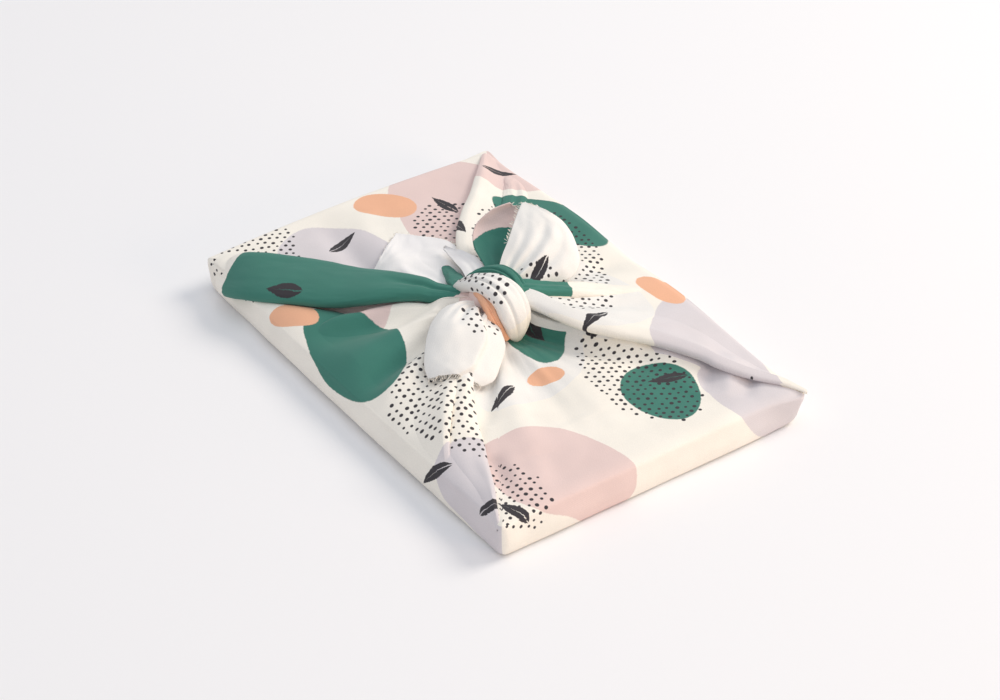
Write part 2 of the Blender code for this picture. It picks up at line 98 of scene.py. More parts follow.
bpy.context.scene.view_settings.view_transform = "Standard"
room = bpy.data.worlds.new("pale_room")
room.use_nodes = True
room.node_tree.nodes["Background"].inputs["Color"].default_value = linear("#eaeff7")
room.node_tree.nodes["Background"].inputs["Strength"].default_value = 0.62
bpy.context.scene.world = room

SOFT_LIGHTS = (
    # name, x, y, z in metres, size in metres, watts, colour
    ("window_light", 0.35, 1.7, 1.5, 1.1, 27.0, "#fff5e8"),
    ("overhead_light", 0.2, 0.0, 2.2, 2.0, 9.0, "#ffffff"),
    ("right_fill", 1.8, 0.7, 0.42, 0.9, 11.5, "#ffd6ac"),
    ("left_fill", -0.9, -1.8, 0.5, 1.2, 2.4, "#ffcf9c"),
)
for name, x, y, z, size, watts, colour in SOFT_LIGHTS:
    lamp = new_object(name, bpy.data.lights.new(name, "AREA"))
    lamp.data.shape = "DISK"
    lamp.data.size = size
    lamp.data.energy = watts
    lamp.data.color = linear(colour)[:3]
    lamp.location = (x, y, z)
    lamp.rotation_euler = (-Vector((x, y, z))).to_track_quat("-Z", "Y").to_euler()


def new_material(name, values):
    """A material with its shader's values set; gives it, its tree and its shader's sockets."""
    material = bpy.data.materials.new(name)
    material.use_nodes = True
    sockets = material.node_tree.nodes["Principled BSDF"].inputs
    for socket, value in values.items():
        sockets[socket].default_value = value
    return material, material.node_tree, sockets


# Card: near white and dull, with a grain that only takes the last gloss away.
finish = {"Base Color": linear("#f1f1f3"), "Roughness": 0.95}
paper, tree, sockets = new_material("matt_white_card", finish)
grain = add(tree, "ShaderNodeTexNoise", {"Scale": 900.0, "Detail": 3.0})[0]
grain = add(tree, "ShaderNodeBump", {"Height": grain, "Strength": 0.04})[0]
tree.links.new(grain, sockets["Normal"])
TABLE_HALF, TABLE_DROP = 4.0, 0.0002
table_mesh = bpy.data.meshes.new("table")
corners = [(x * TABLE_HALF, y * TABLE_HALF, -TABLE_DROP) for x, y in ((-1, -1), (1, -1), (1, 1), (-1, 1))]
table_mesh.from_pydata(corners, [], [(0, 1, 2, 3)])
table_mesh.materials.append(paper)
table = new_object("table", table_mesh)


# --- The cloth -----------------------------------------------------------------------------------
# A square of light plain-woven cotton, 520 mm across, screen-printed on one side: soft pebbles of
# blush, grey and green on cream, fields of small black dots, and scattered black leaves. Its
# other side is unprinted. The print is laid out on the flat cloth, in millimetres from its middle.
MM = 0.001
NODE = "furoshiki_cloth"
CREAM, BLUSH, LILAC, PALE = "#f5f0e6", "#e5cdc8", "#d9d3d6", "#eeece8"
GREEN, PEACH, INK = "#34786a", "#eeb592", "#2d2a30"
PEBBLES = (
    # colour, u, v, half length, half width, turn
    (PALE, 34, -158, 44, 24, -12),
    (BLUSH, -72, -130, 46, 28, 14),
    (LILAC, 98, -104, 38, 22, 24),
    (GREEN, -20, -108, 36, 20, 8),
    (PEACH, -58, -100, 8, 13, 50),
    (PALE, 228, -6, 30, 34, 0),
    (GREEN, 238, 12, 20, 13, 20),
    (BLUSH, 158, -44, 38, 27, -34),
    (LILAC, 152, 68, 34, 22, 14),
    (GREEN, 172, 34, 22, 16, 30),
    (PEACH, 214, -2, 6, 11, 30),
    (PALE, 6, 150, 44, 26, -20),
    (LILAC, 80, 118, 46, 26, 10),
    (BLUSH, -104, 96, 28, 18, -30),
    (GREEN, -52, 114, 36, 16, -14),
    (PEACH, 30, 110, 8, 12, 60),
    (PALE, -238, 6, 26, 34, 0),
    (BLUSH, -168, 40, 36, 33, 24),
    (LILAC, -196, -28, 46, 26, -20),
    (PEACH, -156, 6, 10, 16, 14),
    (BLUSH, 10, 10, 70, 46, 10),
    (GREEN, -70, 40, 36, 24, 30),
    # the rolled corners and the free ends
    (GREEN, -320, -66, 60, 60, 4),
    (BLUSH, -248, -64, 14, 40, 0),
    (PALE, 352, 54, 60, 50, 0),
    (LILAC, 386, 70, 26, 26, 30),
    (GREEN, 300, 96, 22, 26, 10),
    (BLUSH, 0, 330, 70, 60, 0),
    (GREEN, -44, 300, 26, 34, 30),
    (PALE, 170, 330, 60, 70, 0),
    (PALE, 330, 330, 34, 60, 0),
    (PEACH, 356, 358, 30, 16, 0),
)
DOT_FIELDS = (
    # u, v, half length, half width, turn
    (52, -134, 46, 30, -24),
    (-104, -106, 26, 18, 30),
    (208, 40, 46, 22, 24),
    (156, -70, 24, 16, -20),
    (-24, 138, 56, 27, 14),
    (112, 132, 34, 23, -30),
    (-206, 34, 44, 27, -14),
    (-150, -58, 26, 22, 0),
    (0, 0, 60, 60, 20),
    (176, 30, 26, 20, 0),
    (326, 306, 27, 11, 20),
    (152, 316, 17, 12, 0),
    (142, 368, 18, 14, 0),
    (384, 60, 22, 30, 0),
)
DOT_PITCH = (3.9, 3.4)
# A dot's radius, how much dots vary in size, and how far one strays from its place in its cell.
DOT_RADIUS, DOT_VARIES, DOT_STRAYS = 0.78, 0.4, 0.26
# The leaves' spacing and its unevenness, the share of places with one, and half a leaf's length and
# width. A leaf is fuller near its stem, and its rib narrows towards the tip.
LEAF_PITCH, LEAF_UNEVEN, LEAF_SHARE, LEAF_HALF = 35.0, 0.45, 0.36, (9.5, 2.9)
LEAF_LEAN, RIB_NARROWS, RIB_HALF = -0.35, -0.2, 0.06
# How soft the edge of a colour and of the black ink is.
COLOUR_EDGE, INK_EDGE = 0.4, 0.12
# How drawn outlines wander, as scale, detail and reach, and how the dye is uneven, as scale, detail
# and its darkest and lightest.
WANDERS = ((0.013, 1.0, 38.0), (0.9, 2.0, 0.7))
UNEVEN_DYE = ((0.05, 3.0, 0.955, 1.02), (2.2, 2.0, 0.95, 1.04))
THREAD_PITCH, WEAVE_SHARE, WEAVE_DEPTH = 0.5, 0.25, 0.00012
# The kinds of node that the cloth's materials use most.
MATH, VECTOR, SPLIT = "ShaderNodeMath", "ShaderNodeVectorMath", "ShaderNodeSeparateXYZ"
JOIN, NOISE, RANGE, MIX = "ShaderNodeCombineXYZ", "ShaderNodeTexNoise", "ShaderNodeMapRange", "ShaderNodeMix"


def screen_print(tree, spot):
    """The colour of the print at a spot of the flat cloth."""

    def hand_drawn(place):
        """The place, moved a little, so that drawn outlines wander and the ink's edge is rough."""
        for scale, detail, reach in WANDERS:
            wave = add(tree, NOISE, {"Vector": place, "Scale": scale, "Detail": detail})[1]
            about = add(tree, VECTOR, {0: wave, 1: (0.5,) * 3}, "SUBTRACT")[0]
            step = add(tree, VECTOR, {0: about, "Scale": reach}, "SCALE")[0]
            place = add(tree, VECTOR, {0: place, 1: step}, "ADD")[0]
        return place

    def inside(place, u, v, half_length, half_width, turn):
        """Whether a place is inside an oval, with a soft edge about a thread wide."""
        oval = {"Location": (u, v, 0.0), "Rotation": (0.0, 0.0, math.radians(turn))}
        oval["Scale"] = (half_length, half_width, 1000.0)
        own = add(tree, "ShaderNodeMapping", {"Vector": place, **oval}, vector_type="TEXTURE")[0]
        out = add(tree, VECTOR, {0: own}, "LENGTH")["Value"]
        return add(tree, RANGE, {0: out, 1: 1.0, 2: 1.0 - COLOUR_EDGE / half_width, 3: 0.0, 4: 1.0})[0]

    colour = add(tree, "ShaderNodeRGB", {})[0]
    colour.default_value = linear(CREAM)
    drawn = hand_drawn(spot)
    for paint, *oval in PEBBLES:
        mask = inside(drawn, *oval)
        colour = add(tree, MIX, {0: mask, 6: colour, 7: linear(paint)}, data_type="RGBA")[2]

    # Fields of small dots in staggered rows, each dot whole and a little out of its place.
    across = add(tree, VECTOR, {0: spot, 1: (*DOT_PITCH, 1.0)}, "DIVIDE")[0]
    across = add(tree, SPLIT, {0: across})
    row = add(tree, MATH, {0: across[1]}, "FLOOR")[0]
    shifted = add(tree, MATH, {0: row, 1: 0.5, 2: across[0]}, "MULTIPLY_ADD")[0]
    place = add(tree, JOIN, {0: shifted, 1: across[1]})[0]
    cell = add(tree, VECTOR, {0: place}, "FLOOR")[0]
    chance = add(tree, "ShaderNodeTexWhiteNoise", {"Vector": cell}, noise_dimensions="2D")["Color"]
    share = add(tree, VECTOR, {0: place}, "FRACTION")[0]
    strays = {0: chance, 1: (DOT_STRAYS,) * 3, 2: (0.5 - DOT_STRAYS / 2,) * 3}
    nudge = add(tree, VECTOR, strays, "MULTIPLY_ADD")[0]
    off = add(tree, VECTOR, {0: share, 1: nudge}, "SUBTRACT")[0]
    from_dot = add(tree, VECTOR, {0: off, 1: (*DOT_PITCH, 0.0)}, "MULTIPLY")[0]
    away = add(tree, VECTOR, {0: from_dot}, "LENGTH")["Value"]
    chance = add(tree, SPLIT, {0: chance})
    varies = {0: chance[2], 1: DOT_VARIES, 2: DOT_RADIUS - DOT_VARIES / 2}
    girth = add(tree, MATH, varies, "MULTIPLY_ADD")[0]
    room_left = add(tree, MATH, {0: girth, 1: away}, "SUBTRACT")[0]
    dot = add(tree, RANGE, {0: room_left, 1: -INK_EDGE, 2: INK_EDGE, 3: 0.0, 4: 1.0})[0]
    middle = hand_drawn(add(tree, VECTOR, {0: spot, 1: from_dot}, "SUBTRACT")[0])
    in_field = 0.0
    for oval in DOT_FIELDS:
        in_field = add(tree, MATH, {0: in_field, 1: inside(middle, *oval)}, "MAXIMUM")[0]
    shown = add(tree, MATH, {0: in_field, 1: 0.5}, "GREATER_THAN")[0]
    shown = add(tree, MATH, {0: shown, 1: dot}, "MULTIPLY")[0]
    colour = add(tree, MIX, {0: shown, 6: colour, 7: linear(INK)}, data_type="RGBA")[2]

    # Leaves, one to a cell of the cloth where there is one, each turned its own way.
    cells = {"Vector": spot, "Scale": 1 / LEAF_PITCH, "Randomness": LEAF_UNEVEN}
    seed = add(tree, "ShaderNodeTexVoronoi", cells, voronoi_dimensions="2D")
    chance = add(tree, SPLIT, {0: seed["Color"]})
    own = add(tree, VECTOR, {0: spot, 1: seed["Position"]}, "SUBTRACT")[0]
    angle = add(tree, MATH, {0: chance[1], 1: math.tau}, "MULTIPLY")[0]
    own = add(tree, "ShaderNodeVectorRotate", {"Vector": own, "Angle": angle}, rotation_type="Z_AXIS")[0]
    rough = add(tree, NOISE, {"Vector": spot, "Scale": 0.8, "Detail": 2.0})[1]
    rough = add(tree, VECTOR, {0: rough, 1: (0.5,) * 3}, "SUBTRACT")[0]
    own = add(tree, VECTOR, {0: own, 1: rough}, "ADD")[0]
    own = add(tree, SPLIT, {0: own})
    length = add(tree, MATH, {0: own[0], 1: LEAF_HALF[0]}, "DIVIDE")[0]
    taper = add(tree, MATH, {0: length, 1: length}, "MULTIPLY")[0]
    taper = add(tree, MATH, {0: 1.0, 1: taper}, "SUBTRACT")[0]
    lean = add(tree, MATH, {0: length, 1: LEAF_LEAN, 2: 1.0}, "MULTIPLY_ADD")[0]
    taper = add(tree, MATH, {0: taper, 1: lean}, "MULTIPLY")[0]
    side = add(tree, MATH, {0: own[1]}, "ABSOLUTE")[0]
    half_width = add(tree, MATH, {0: taper, 1: LEAF_HALF[1]}, "MULTIPLY")[0]
    rib_width = add(tree, MATH, {0: length, 1: RIB_NARROWS, 2: RIB_HALF}, "MULTIPLY_ADD")[0]
    leaf = add(tree, MATH, {0: chance[0], 1: LEAF_SHARE}, "LESS_THAN")[0]
    for limit, low, high in ((half_width, 0.0, 1.0), (rib_width, 1.0, 0.0)):
        room_left = add(tree, MATH, {0: limit, 1: side}, "SUBTRACT")[0]
        part = add(tree, RANGE, {0: room_left, 1: -INK_EDGE, 2: INK_EDGE, 3: low, 4: high})[0]
        leaf = add(tree, MATH, {0: leaf, 1: part}, "MULTIPLY")[0]
    colour = add(tree, MIX, {0: leaf, 6: colour, 7: linear(INK)}, data_type="RGBA")[2]

    # The dye takes a little unevenly, and every thread shows as a fine light and dark.
    for scale, detail, dark, light in UNEVEN_DYE:
        fleck = add(tree, NOISE, {"Vector": spot, "Scale": scale, "Detail": detail})[0]
        fleck = add(tree, RANGE, {0: fleck, 1: 0.3, 2: 0.7, 3: dark, 4: light})[0]
        colour = add(tree, VECTOR, {0: colour, "Scale": fleck}, "SCALE")[0]
    return colour


def undyed(tree, spot):
    """The colour of the cloth's other side: undyed white cotton."""
    cloud = add(tree, NOISE, {"Vector": spot, "Scale": 0.04, "Detail": 2.0})[0]
    return add(tree, MIX, {0: cloud, 6: linear("#e9e6e8"), 7: linear("#f6f4f1")}, data_type="RGBA")[2]


def cotton(name, colour_at, roughness):
    """Plain-woven cotton: dull, with a faint sheen of short fibres and the fine grid of the weave,
    whose threads are really about 0.3 mm apart and are drawn a little coarser to show."""
    finish = {"Roughness": roughness, "Sheen Weight": 0.12, "Sheen Roughness": 0.6}
    cloth, tree, sockets = new_material(name, finish)
    flat = add(tree, "ShaderNodeUVMap", {}, uv_map="flat_cloth")[0]
    spot = add(tree, VECTOR, {0: flat, 1: (1 / MM,) * 3}, "MULTIPLY")[0]
    tree.links.new(colour_at(tree, spot), sockets["Base Color"])
    thread = add(tree, VECTOR, {0: spot, "Scale": math.pi / THREAD_PITCH}, "SCALE")[0]
    ways = add(tree, SPLIT, {0: thread})
    warp, weft = (add(tree, MATH, {0: ways[k]}, "SINE")[0] for k in (0, 1))
    weave = add(tree, MATH, {0: warp, 1: weft}, "MULTIPLY")[0]
    slub = add(tree, NOISE, {"Vector": spot, "Scale": 1.1, "Detail": 3.0})[0]
    height = add(tree, MATH, {0: weave, 1: WEAVE_SHARE, 2: slub}, "MULTIPLY_ADD")[0]
    bump = add(tree, "ShaderNodeBump", {"Height": height, "Strength": 0.35, "Distance": WEAVE_DEPTH})[0]
    tree.links.new(bump, sockets["Normal"])
    return cloth


PRINT = cotton("screen_printed_cotton", screen_print, 0.88)
REVERSE = cotton("unprinted_cotton", undyed, 0.9)


# --- The wrapped parcel --------------------------------------------------------------------------
# The cloth round the book: a flat underside, side walls that belly out a little, and four flaps
# tented up to the knot. The book fills it, so it is one padded piece. Each flap carries the print as
# it falls when the flat cloth is folded up over that side of the book.
LENGTH, WIDTH, BOOK_TOP, CORNER_RADIUS = 246.0, 161.0, 17.5, 4.0
KNOT = np.array((3.0, -1.0))
HALF_LENGTH, HALF_WIDTH = LENGTH / 2, WIDTH / 2
HALVES = np.array((HALF_LENGTH, HALF_WIDTH))
CORNERS = {
    "left": np.array((-HALF_LENGTH, -HALF_WIDTH)),
    "near": np.array((HALF_LENGTH, -HALF_WIDTH)),
    "right": np.array((HALF_LENGTH, HALF_WIDTH)),
    "far": np.array((-HALF_LENGTH, HALF_WIDTH)),
}
SIDES = ("near_right", "far_right", "far_left", "near_left")
WALL = (
    # height, out, belly, ear
    (0, -1.8, 0, -0.4),
    (0.07, -0.6, 0.25, -0.2),
    (0.27, 0, 0.7, 0.1),
    (0.52, 0, 1, 0.4),
    (0.77, 0, 0.95, 0.8),
    (0.93, -0.3, 0.8, 1),
    (1, -0.9, 0.7, 0.95),
)
# How far each side bellies out, how far its top edge stands up over the book and how far it is rounded
# down, along the side.
EDGES = {
    # share along the side, out, lift, round
    "near_right": (
        (0, 0, 0, 1.6), (0.15, 0.3, 0.1, 2.2), (0.5, 0.5, 0.3, 2.6), (0.85, 0.4, 0.2, 2.2), (1, 0, 0, 1.6),
    ),
    "far_right": (
        (0, 0, 0, 1), (0.12, 0.8, 0.9, 1), (0.24, 2.2, 2.6, 1), (0.35, 3.3, 3.5, 1),
        (0.44, 3, 2.8, 1), (0.51, 2.4, 1.7, 1), (0.58, 2.8, 2.6, 1), (0.68, 3.2, 3.6, 1),
        (0.8, 2, 2.6, 1), (0.92, 0.6, 0.9, 1), (1, 0, 0, 1),
    ),
    "far_left": (
        (0, 0, 0, 1), (0.2, 1, 1.6, 1), (0.5, 1.6, 2.6, 1), (0.8, 1, 1.7, 1), (1, 0, 0, 1),
    ),
    "near_left": (
        (0, 0, 0, 1.6), (0.12, 1, 0.6, 3.4), (0.3, 2.4, 1.6, 6), (0.5, 3.2, 2.2, 7),
        (0.75, 2.2, 1.6, 6.5), (0.9, 1, 0.7, 4), (1, 0, 0, 1.6),
    ),
}
# How fast the lift of an edge dies away towards the knot and its rounding away from the edge, and how
# far the rounding reaches.
LIFT_POWER, ROUND_POWER, ROUND_REACH = 3, 4, 5.0
# How far the near-right flap's cloth reaches into the near-left one, under the lap that covers it.
NEAR_SEAM = ((0, 2), (0.1, 3.2), (0.2, 5.5), (0.36, 10), (0.5, 14), (0.65, 15), (0.8, 11), (1, 3))
EARS = {"left": 2.0, "near": 1.4, "right": 4.0, "far": 5.0}
EAR_REACH = 13.0
FLAPS = (
    # bearing, climb, power
    (-46, 14, 1.1),
    (-39, 4, 1.6),
    (-20, 2.5, 2),
    (15, 2.5, 2),
    (31, 3.5, 1.8),
    (36, 16, 0.95),
    (60, 16, 0.95),
    (90, 15, 1),
    (120, 13.5, 1.1),
    (146, 12, 1.2),
    (153, 8, 1.4),
    (180, 8, 1.6),
    (207, 9, 1.5),
    (240, 12, 1.35),
    (270, 15, 1.2),
    (300, 15, 1.1),
)
# Close to the knot every flap comes to one height, and creases fade out towards the rim.
POLE_CLIMB, POLE_BLEND, RIM_FADE = 13.0, 0.88, 0.15
# Creases of the flaps, each deepest where it starts and gone where it ends.
CREASES = (
    # x, y, to x, to y, width, to width, depth
    (-18, -24, -38, -82, 5, 10, -4.2),
    (-9, -26, -12, -86, 4.5, 10, 2.8),
    (0, -30, 10.5, -78, 3.6, 6.5, -4.4),
    (10, -34, 25, -84, 4.5, 8, 2.6),
    (18, -34, 50, -76, 3, 7, -1.6),
    (-30, -20, -70, -80, 5, 10, 2),
    (-42, -47, -96, -86, 4.5, 4.5, -4.2),
    (36, -32, 96, -74, 3.5, 5, -1.4),
    (24, -17, 64, -47, 3.4, 3.4, -2.4),
    (-34, 2, -80, 10, 4, 8, -1.5),
    (-30, -10, -84, -18, 4, 8, 1),
    (-30, 14, -74, 40, 4, 9, -1.2),
    (-62, -26, -124, -22, 5, 8, -2.4),
    (-62, -12, -124, -4, 6, 9, 1.6),
    (-14, 18, -36, 78, 4, 9, -1.8),
    (-8, 20, -8, 80, 3, 7, 1),
    (4, 22, -4, 84, 3, 6, -1.3),
    (24, 26, 42, 82, 4, 8, -2),
    (34, 30, 76, 80, 3, 7, 1),
    (32, 22, 98, 62, 4, 6, 1.4),
    (46, 34, 108, 70, 3, 5, -1.2),
    (30, -22, 92, -40, 5, 10, 1.8),
    (26, -11, 82, -13, 4, 8, -2.2),
    (28, -2, 84, 2, 4, 8, 1.2),
    (28, 6, 96, 24, 4, 9, 0.8),
    (84, -58, 114, -66, 4, 5, -2),
    (116, -52, 84, -40, 6, 5, 0.9),
    (108, -62, 78, -46, 5, 4, 0.8),
    (112, 52, 80, 38, 5, 4, 0.8),
    (84, 62, 99, 44, 5, 4, -2.2),
    (93, 66, 108, 50, 4, 3, 1.2),
    (101, 72, 113, 57, 4, 3, -1.9),
    (60, 46, 78, 18, 6, 5, -1.2),
    (18, 14, 54, 40, 7, 5, -5),
    (22, 3, 58, 30, 6, 4, -1.4),
)
# Gathers that fan out from the knot: their height, how it grows towards the knot, how close they are
# round it and how long. Then the cloth's own unevenness, as height, size and seed.
GATHER_HEIGHT, GATHER_POWER, GATHERS_ROUND, GATHERS_ALONG = 1.5, 1.4, 9, 2.2
UNEVEN_TOP = ((0.75, 30.0, 2), (0.2, 9.0, 3))
WALL_SLACK, SLACK_SIZE = 1.1, np.array((16.0, 16.0, 22.0))
# How high up a rounded side starts to lean in, and over how much of the wall it does.
LEAN_FROM, LEAN_OVER = 0.3, 0.55
BASE_INSETS, TOP_SPACING = (0.06, 0.3, 0.6, 0.85, 0.97), 1.2
FINE_LONG, FINE_SHORT, FINE_CORNER, FINE_WALL, FINE_TOP = 170, 112, 8, 26, 104
EDGE_STEPS, TINY, FAR_AWAY = 90, 1e-9, 50


def along_rows(rows, count):
    """The rows read at even places on a smooth curve through them."""
    rows = np.array(rows, float)
    last = len(rows) - 1
    place = np.linspace(0, last, count)
    first = np.minimum(place.astype(int), last - 1)
    t = (place - first)[:, None]
    a, b, c, d = (rows[np.clip(first + k, 0, last)] for k in (-1, 0, 1, 2))
    return b + 0.5 * t * (c - a + t * (2 * a - 5 * b + 4 * c - d + t * (3 * b - a - 3 * c + d)))


def smooth(value):
    """From 0 to 1, level at both ends."""
    value = np.clip(value, 0, 1)
    return value * value * (3 - 2 * value)


def unevenness(points, size, seed):
    """Smooth noise from -1 to 1 at each point, with waves of about that size."""
    points = np.asarray(points, float)
    spots = (points.reshape(-1, points.shape[-1]) / size + 31.7 * seed).tolist()
    if points.shape[-1] == 2:
        spots = [(x, y, 0.5 * seed) for x, y in spots]
    return np.array([noise.noise(s) for s in spots]).reshape(points.shape[:-1])


def unit(vectors):
    return vectors / np.linalg.norm(vectors, axis=-1, keepdims=True)


def to_knot(start):
    """The way from there to the knot, and the direction to its left."""
    way = KNOT - start
    return way, unit(np.array((-way[1], way[0])))


def runs_along(met):
    """How far along each of the four sides a point of the rim is, as a share."""
    x, y = met[..., 0], met[..., 1]
    right, far = (y + HALF_WIDTH) / WIDTH, (HALF_LENGTH - x) / LENGTH
    return right, far, (HALF_WIDTH - y) / WIDTH, (x + HALF_LENGTH) / LENGTH


def inward_of(side, x, y):
    """How far in from its side's edge a point of the plan is."""
    return np.choose(side, (HALF_LENGTH - x, HALF_WIDTH - y, HALF_LENGTH + x, HALF_WIDTH + y))


def side_of(x, y):
    """Which side's flap a point of the plan is in, how far along that side its ray from the knot meets
    the edge, and how near the knot it is."""
    away = np.stack((x, y), -1) - KNOT
    reach = (np.copysign(HALVES, away) - KNOT) / np.where(np.abs(away) < TINY, TINY, away)
    far = reach.min(-1)
    on_end = reach[..., 0] < reach[..., 1]
    side = np.where(on_end, np.where(away[..., 0] > 0, 0, 2), np.where(away[..., 1] > 0, 1, 3))
    run = np.choose(side, runs_along(KNOT + away * far[..., None]))
    return side, run, 1 - 1 / np.maximum(far, TINY)


def edge_value(side, share, column):
    """How far a side's top edge is out, lifted or rounded."""
    fine = [along_rows(EDGES[name], EDGE_STEPS) for name in SIDES]
    return np.choose(side, [np.interp(share, t[:, 0], t[:, column]) for t in fine])


# The flaps' climb and power at every degree round the knot, smoothed over a few degrees.
BEARINGS = np.arange(360)
SPREAD, SPREAD_REACH = 2.6, 9
spread = np.exp(-((np.arange(-SPREAD_REACH, SPREAD_REACH + 1) / SPREAD) ** 2))
spread /= spread.sum()
bearing, *flap_shape = np.array(FLAPS).T
flap_shape = [np.interp(BEARINGS, bearing, values, period=360) for values in flap_shape]
flap_shape = [np.pad(values, SPREAD_REACH, mode="wrap") for values in flap_shape]
FLAP_CLIMB, FLAP_POWER = (np.convolve(values, spread, mode="valid") for values in flap_shape)


def cloth_top(x, y):
    """The height of the flaps over each point of the plan."""
    side, run, share = side_of(x, y)
    share = np.clip(share, 0, 1)
    bearing = np.degrees(np.arctan2(y - KNOT[1], x - KNOT[0]))
    climb, power = (np.interp(bearing, BEARINGS, t, period=360) for t in (FLAP_CLIMB, FLAP_POWER))
    near_pole = np.clip((share - POLE_BLEND) / (1 - POLE_BLEND), 0, 1)
    climb = climb + (POLE_CLIMB - climb) * near_pole**2
    inward = inward_of(side, x, y)
    rise = climb * share**power + edge_value(side, run, 2) * (1 - share) ** LIFT_POWER
    rounding = edge_value(side, run, 3)
    rise = rise - rounding * np.clip(1 - inward / (ROUND_REACH * rounding), 0, 1) ** ROUND_POWER
    fade = np.minimum(1, share / RIM_FADE) * (1 - near_pole)
    for x0, y0, x1, y1, width0, width1, depth in CREASES:
        way = np.array((x1 - x0, y1 - y0))
        held = np.clip(((x - x0) * way[0] + (y - y0) * way[1]) / (way @ way), 0, 1)
        away = np.hypot(x - x0 - held * way[0], y - y0 - held * way[1])
        run_out = np.cos(0.5 * np.pi * held) ** 0.5
        width = width0 + held * (width1 - width0)
        rise = rise + depth * np.exp(-((away / width) ** 2)) * run_out * fade
    bearing = np.radians(bearing)
    spots = (np.cos(bearing) * GATHERS_ROUND, np.sin(bearing) * GATHERS_ROUND, share * GATHERS_ALONG)
    gathers = GATHER_HEIGHT * unevenness(np.stack(spots, -1), 1.0, 1) * share**GATHER_POWER
    rise = rise + gathers * (1 - near_pole)
    for height, size, seed in UNEVEN_TOP:
        rise = rise + height * unevenness(np.stack((x, y), -1), size, seed) * fade
    return BOOK_TOP + rise


def new_piece(name, points, faces, corner_uv, materials, face_material=None):
    """A piece of cloth from points and faces in millimetres, with the print's place at each corner."""
    a, b, c = (points[[f[k] for f in faces]] for k in (0, 1, 2))
    d = points[[f[-1] for f in faces]]
    if (np.cross(b - a, c - a) * a).sum() + (np.cross(c - a, d - a) * a).sum() < 0:
        faces = [f[::-1] for f in faces]
        corner_uv = [uv[::-1] for uv in corner_uv]
    mesh = bpy.data.meshes.new(name)
    mesh.from_pydata((points * MM).tolist(), [], faces)
    layer = mesh.uv_layers.new(name="flat_cloth")
    layer.data.foreach_set("uv", (np.concatenate(corner_uv) * MM).astype(np.float32).ravel())
    for material in materials:
        mesh.materials.append(material)
    if face_material is not None:
        mesh.polygons.foreach_set("material_index", face_material)
    mesh.shade_smooth()
    return new_object(name, mesh)


def dress(piece):
    """The piece rides on the parcel and stands for the cloth's solid."""
    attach(piece, "root")
    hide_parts(NODE)
    return piece


def closed_rings(name, rings, ring_uv):
    """A closed piece from rings of points, with a point closing each end. The print's place is given
    for each corner of each quad, or for each point with the first of a ring repeated at its end."""
    count, around, _ = rings.shape
    if ring_uv.ndim == 3:
        ring_uv = np.stack((ring_uv[:-1, :-1], ring_uv[:-1, 1:], ring_uv[1:, 1:], ring_uv[1:, :-1]), 2)
    points = np.concatenate((rings.reshape(-1, 3), rings[0].mean(0)[None], rings[-1].mean(0)[None]))
    index = np.arange(count * around).reshape(count, around)
    after = np.roll(index, -1, 1)
    quads = np.stack((index[:-1], after[:-1], after[1:], index[1:]), -1).reshape(-1, 4)
    faces, uv = quads.tolist(), list(ring_uv.reshape(-1, 4, 2))
    # A fan of triangles round the point at each end, turned the same way as the quads.
    last = count * around
    ends = ((0, last, after, index, (1, 0)), (-1, last + 1, index, after, (3, 2)))
    for end, tip, first, second, corner in ends:
        faces += np.column_stack((first[end], second[end], np.full(around, tip))).tolist()
        edge_uv = ring_uv[end][:, corner]
        middle = np.broadcast_to(edge_uv.mean((0, 1)), (around, 1, 2))
        uv += list(np.concatenate((edge_uv, middle), 1))
    return new_piece(name, points, faces, uv, (PRINT,))


def print_place(side, x, y, up_wall):
    """Where on the flat cloth a point of a side's flap lies, from how far up and over it is."""
    sideways = np.where(side % 2 == 0, y, x)
    reach = np.where(side % 2 == 0, HALF_LENGTH, HALF_WIDTH) + up_wall + inward_of(side, x, y)
    out = np.where((side == 0) | (side == 1), reach, -reach)
    return np.where((side % 2 == 0)[..., None], np.stack((out, sideways), -1), np.stack((sideways, out), -1))


# The outline of the parcel, from the near corner round by the right one: where each point of it is,
# which way is out, which side it is on and how far along it.
base, outward, rim_side, rim_run = [], [], [], []
names = ("near", "right", "far", "left")
for number, name in enumerate(names):
    corner, following = CORNERS[name], CORNERS[names[(number + 1) % 4]]
    centre = corner - np.sign(corner) * CORNER_RADIUS
    for step in range(FINE_CORNER + 1):
        angle = math.radians(90 * number - 90 + 90 * step / FINE_CORNER)
        out = np.array((math.cos(angle), math.sin(angle)))
        base.append(centre + out * CORNER_RADIUS)
        outward.append(out)
        rim_side.append(number if 2 * step >= FINE_CORNER else (number - 1) % 4)
        rim_run.append(0.0)
    steps = FINE_LONG if number % 2 else FINE_SHORT
    start, along = base[-1], (following - corner) / np.linalg.norm(following - corner)
    length = np.linalg.norm(following - corner) - 2 * CORNER_RADIUS
    for step in range(1, steps):
        base.append(start + along * length * step / steps)
        outward.append(np.array((along[1], -along[0])))
        rim_side.append(number)
        rim_run.append(step / steps)
base, outward, rim_side, rim_run = (np.array(v) for v in (base, outward, rim_side, rim_run))
belly, rounding = (edge_value(rim_side, rim_run, column) for column in (1, 3))
ear = np.zeros_like(base)
for name, corner in CORNERS.items():
    reach = np.exp(-((np.linalg.norm(base - corner, axis=1) / EAR_REACH) ** 2))
    ear += np.sign(corner) / math.sqrt(2) * EARS[name] * reach[:, None]

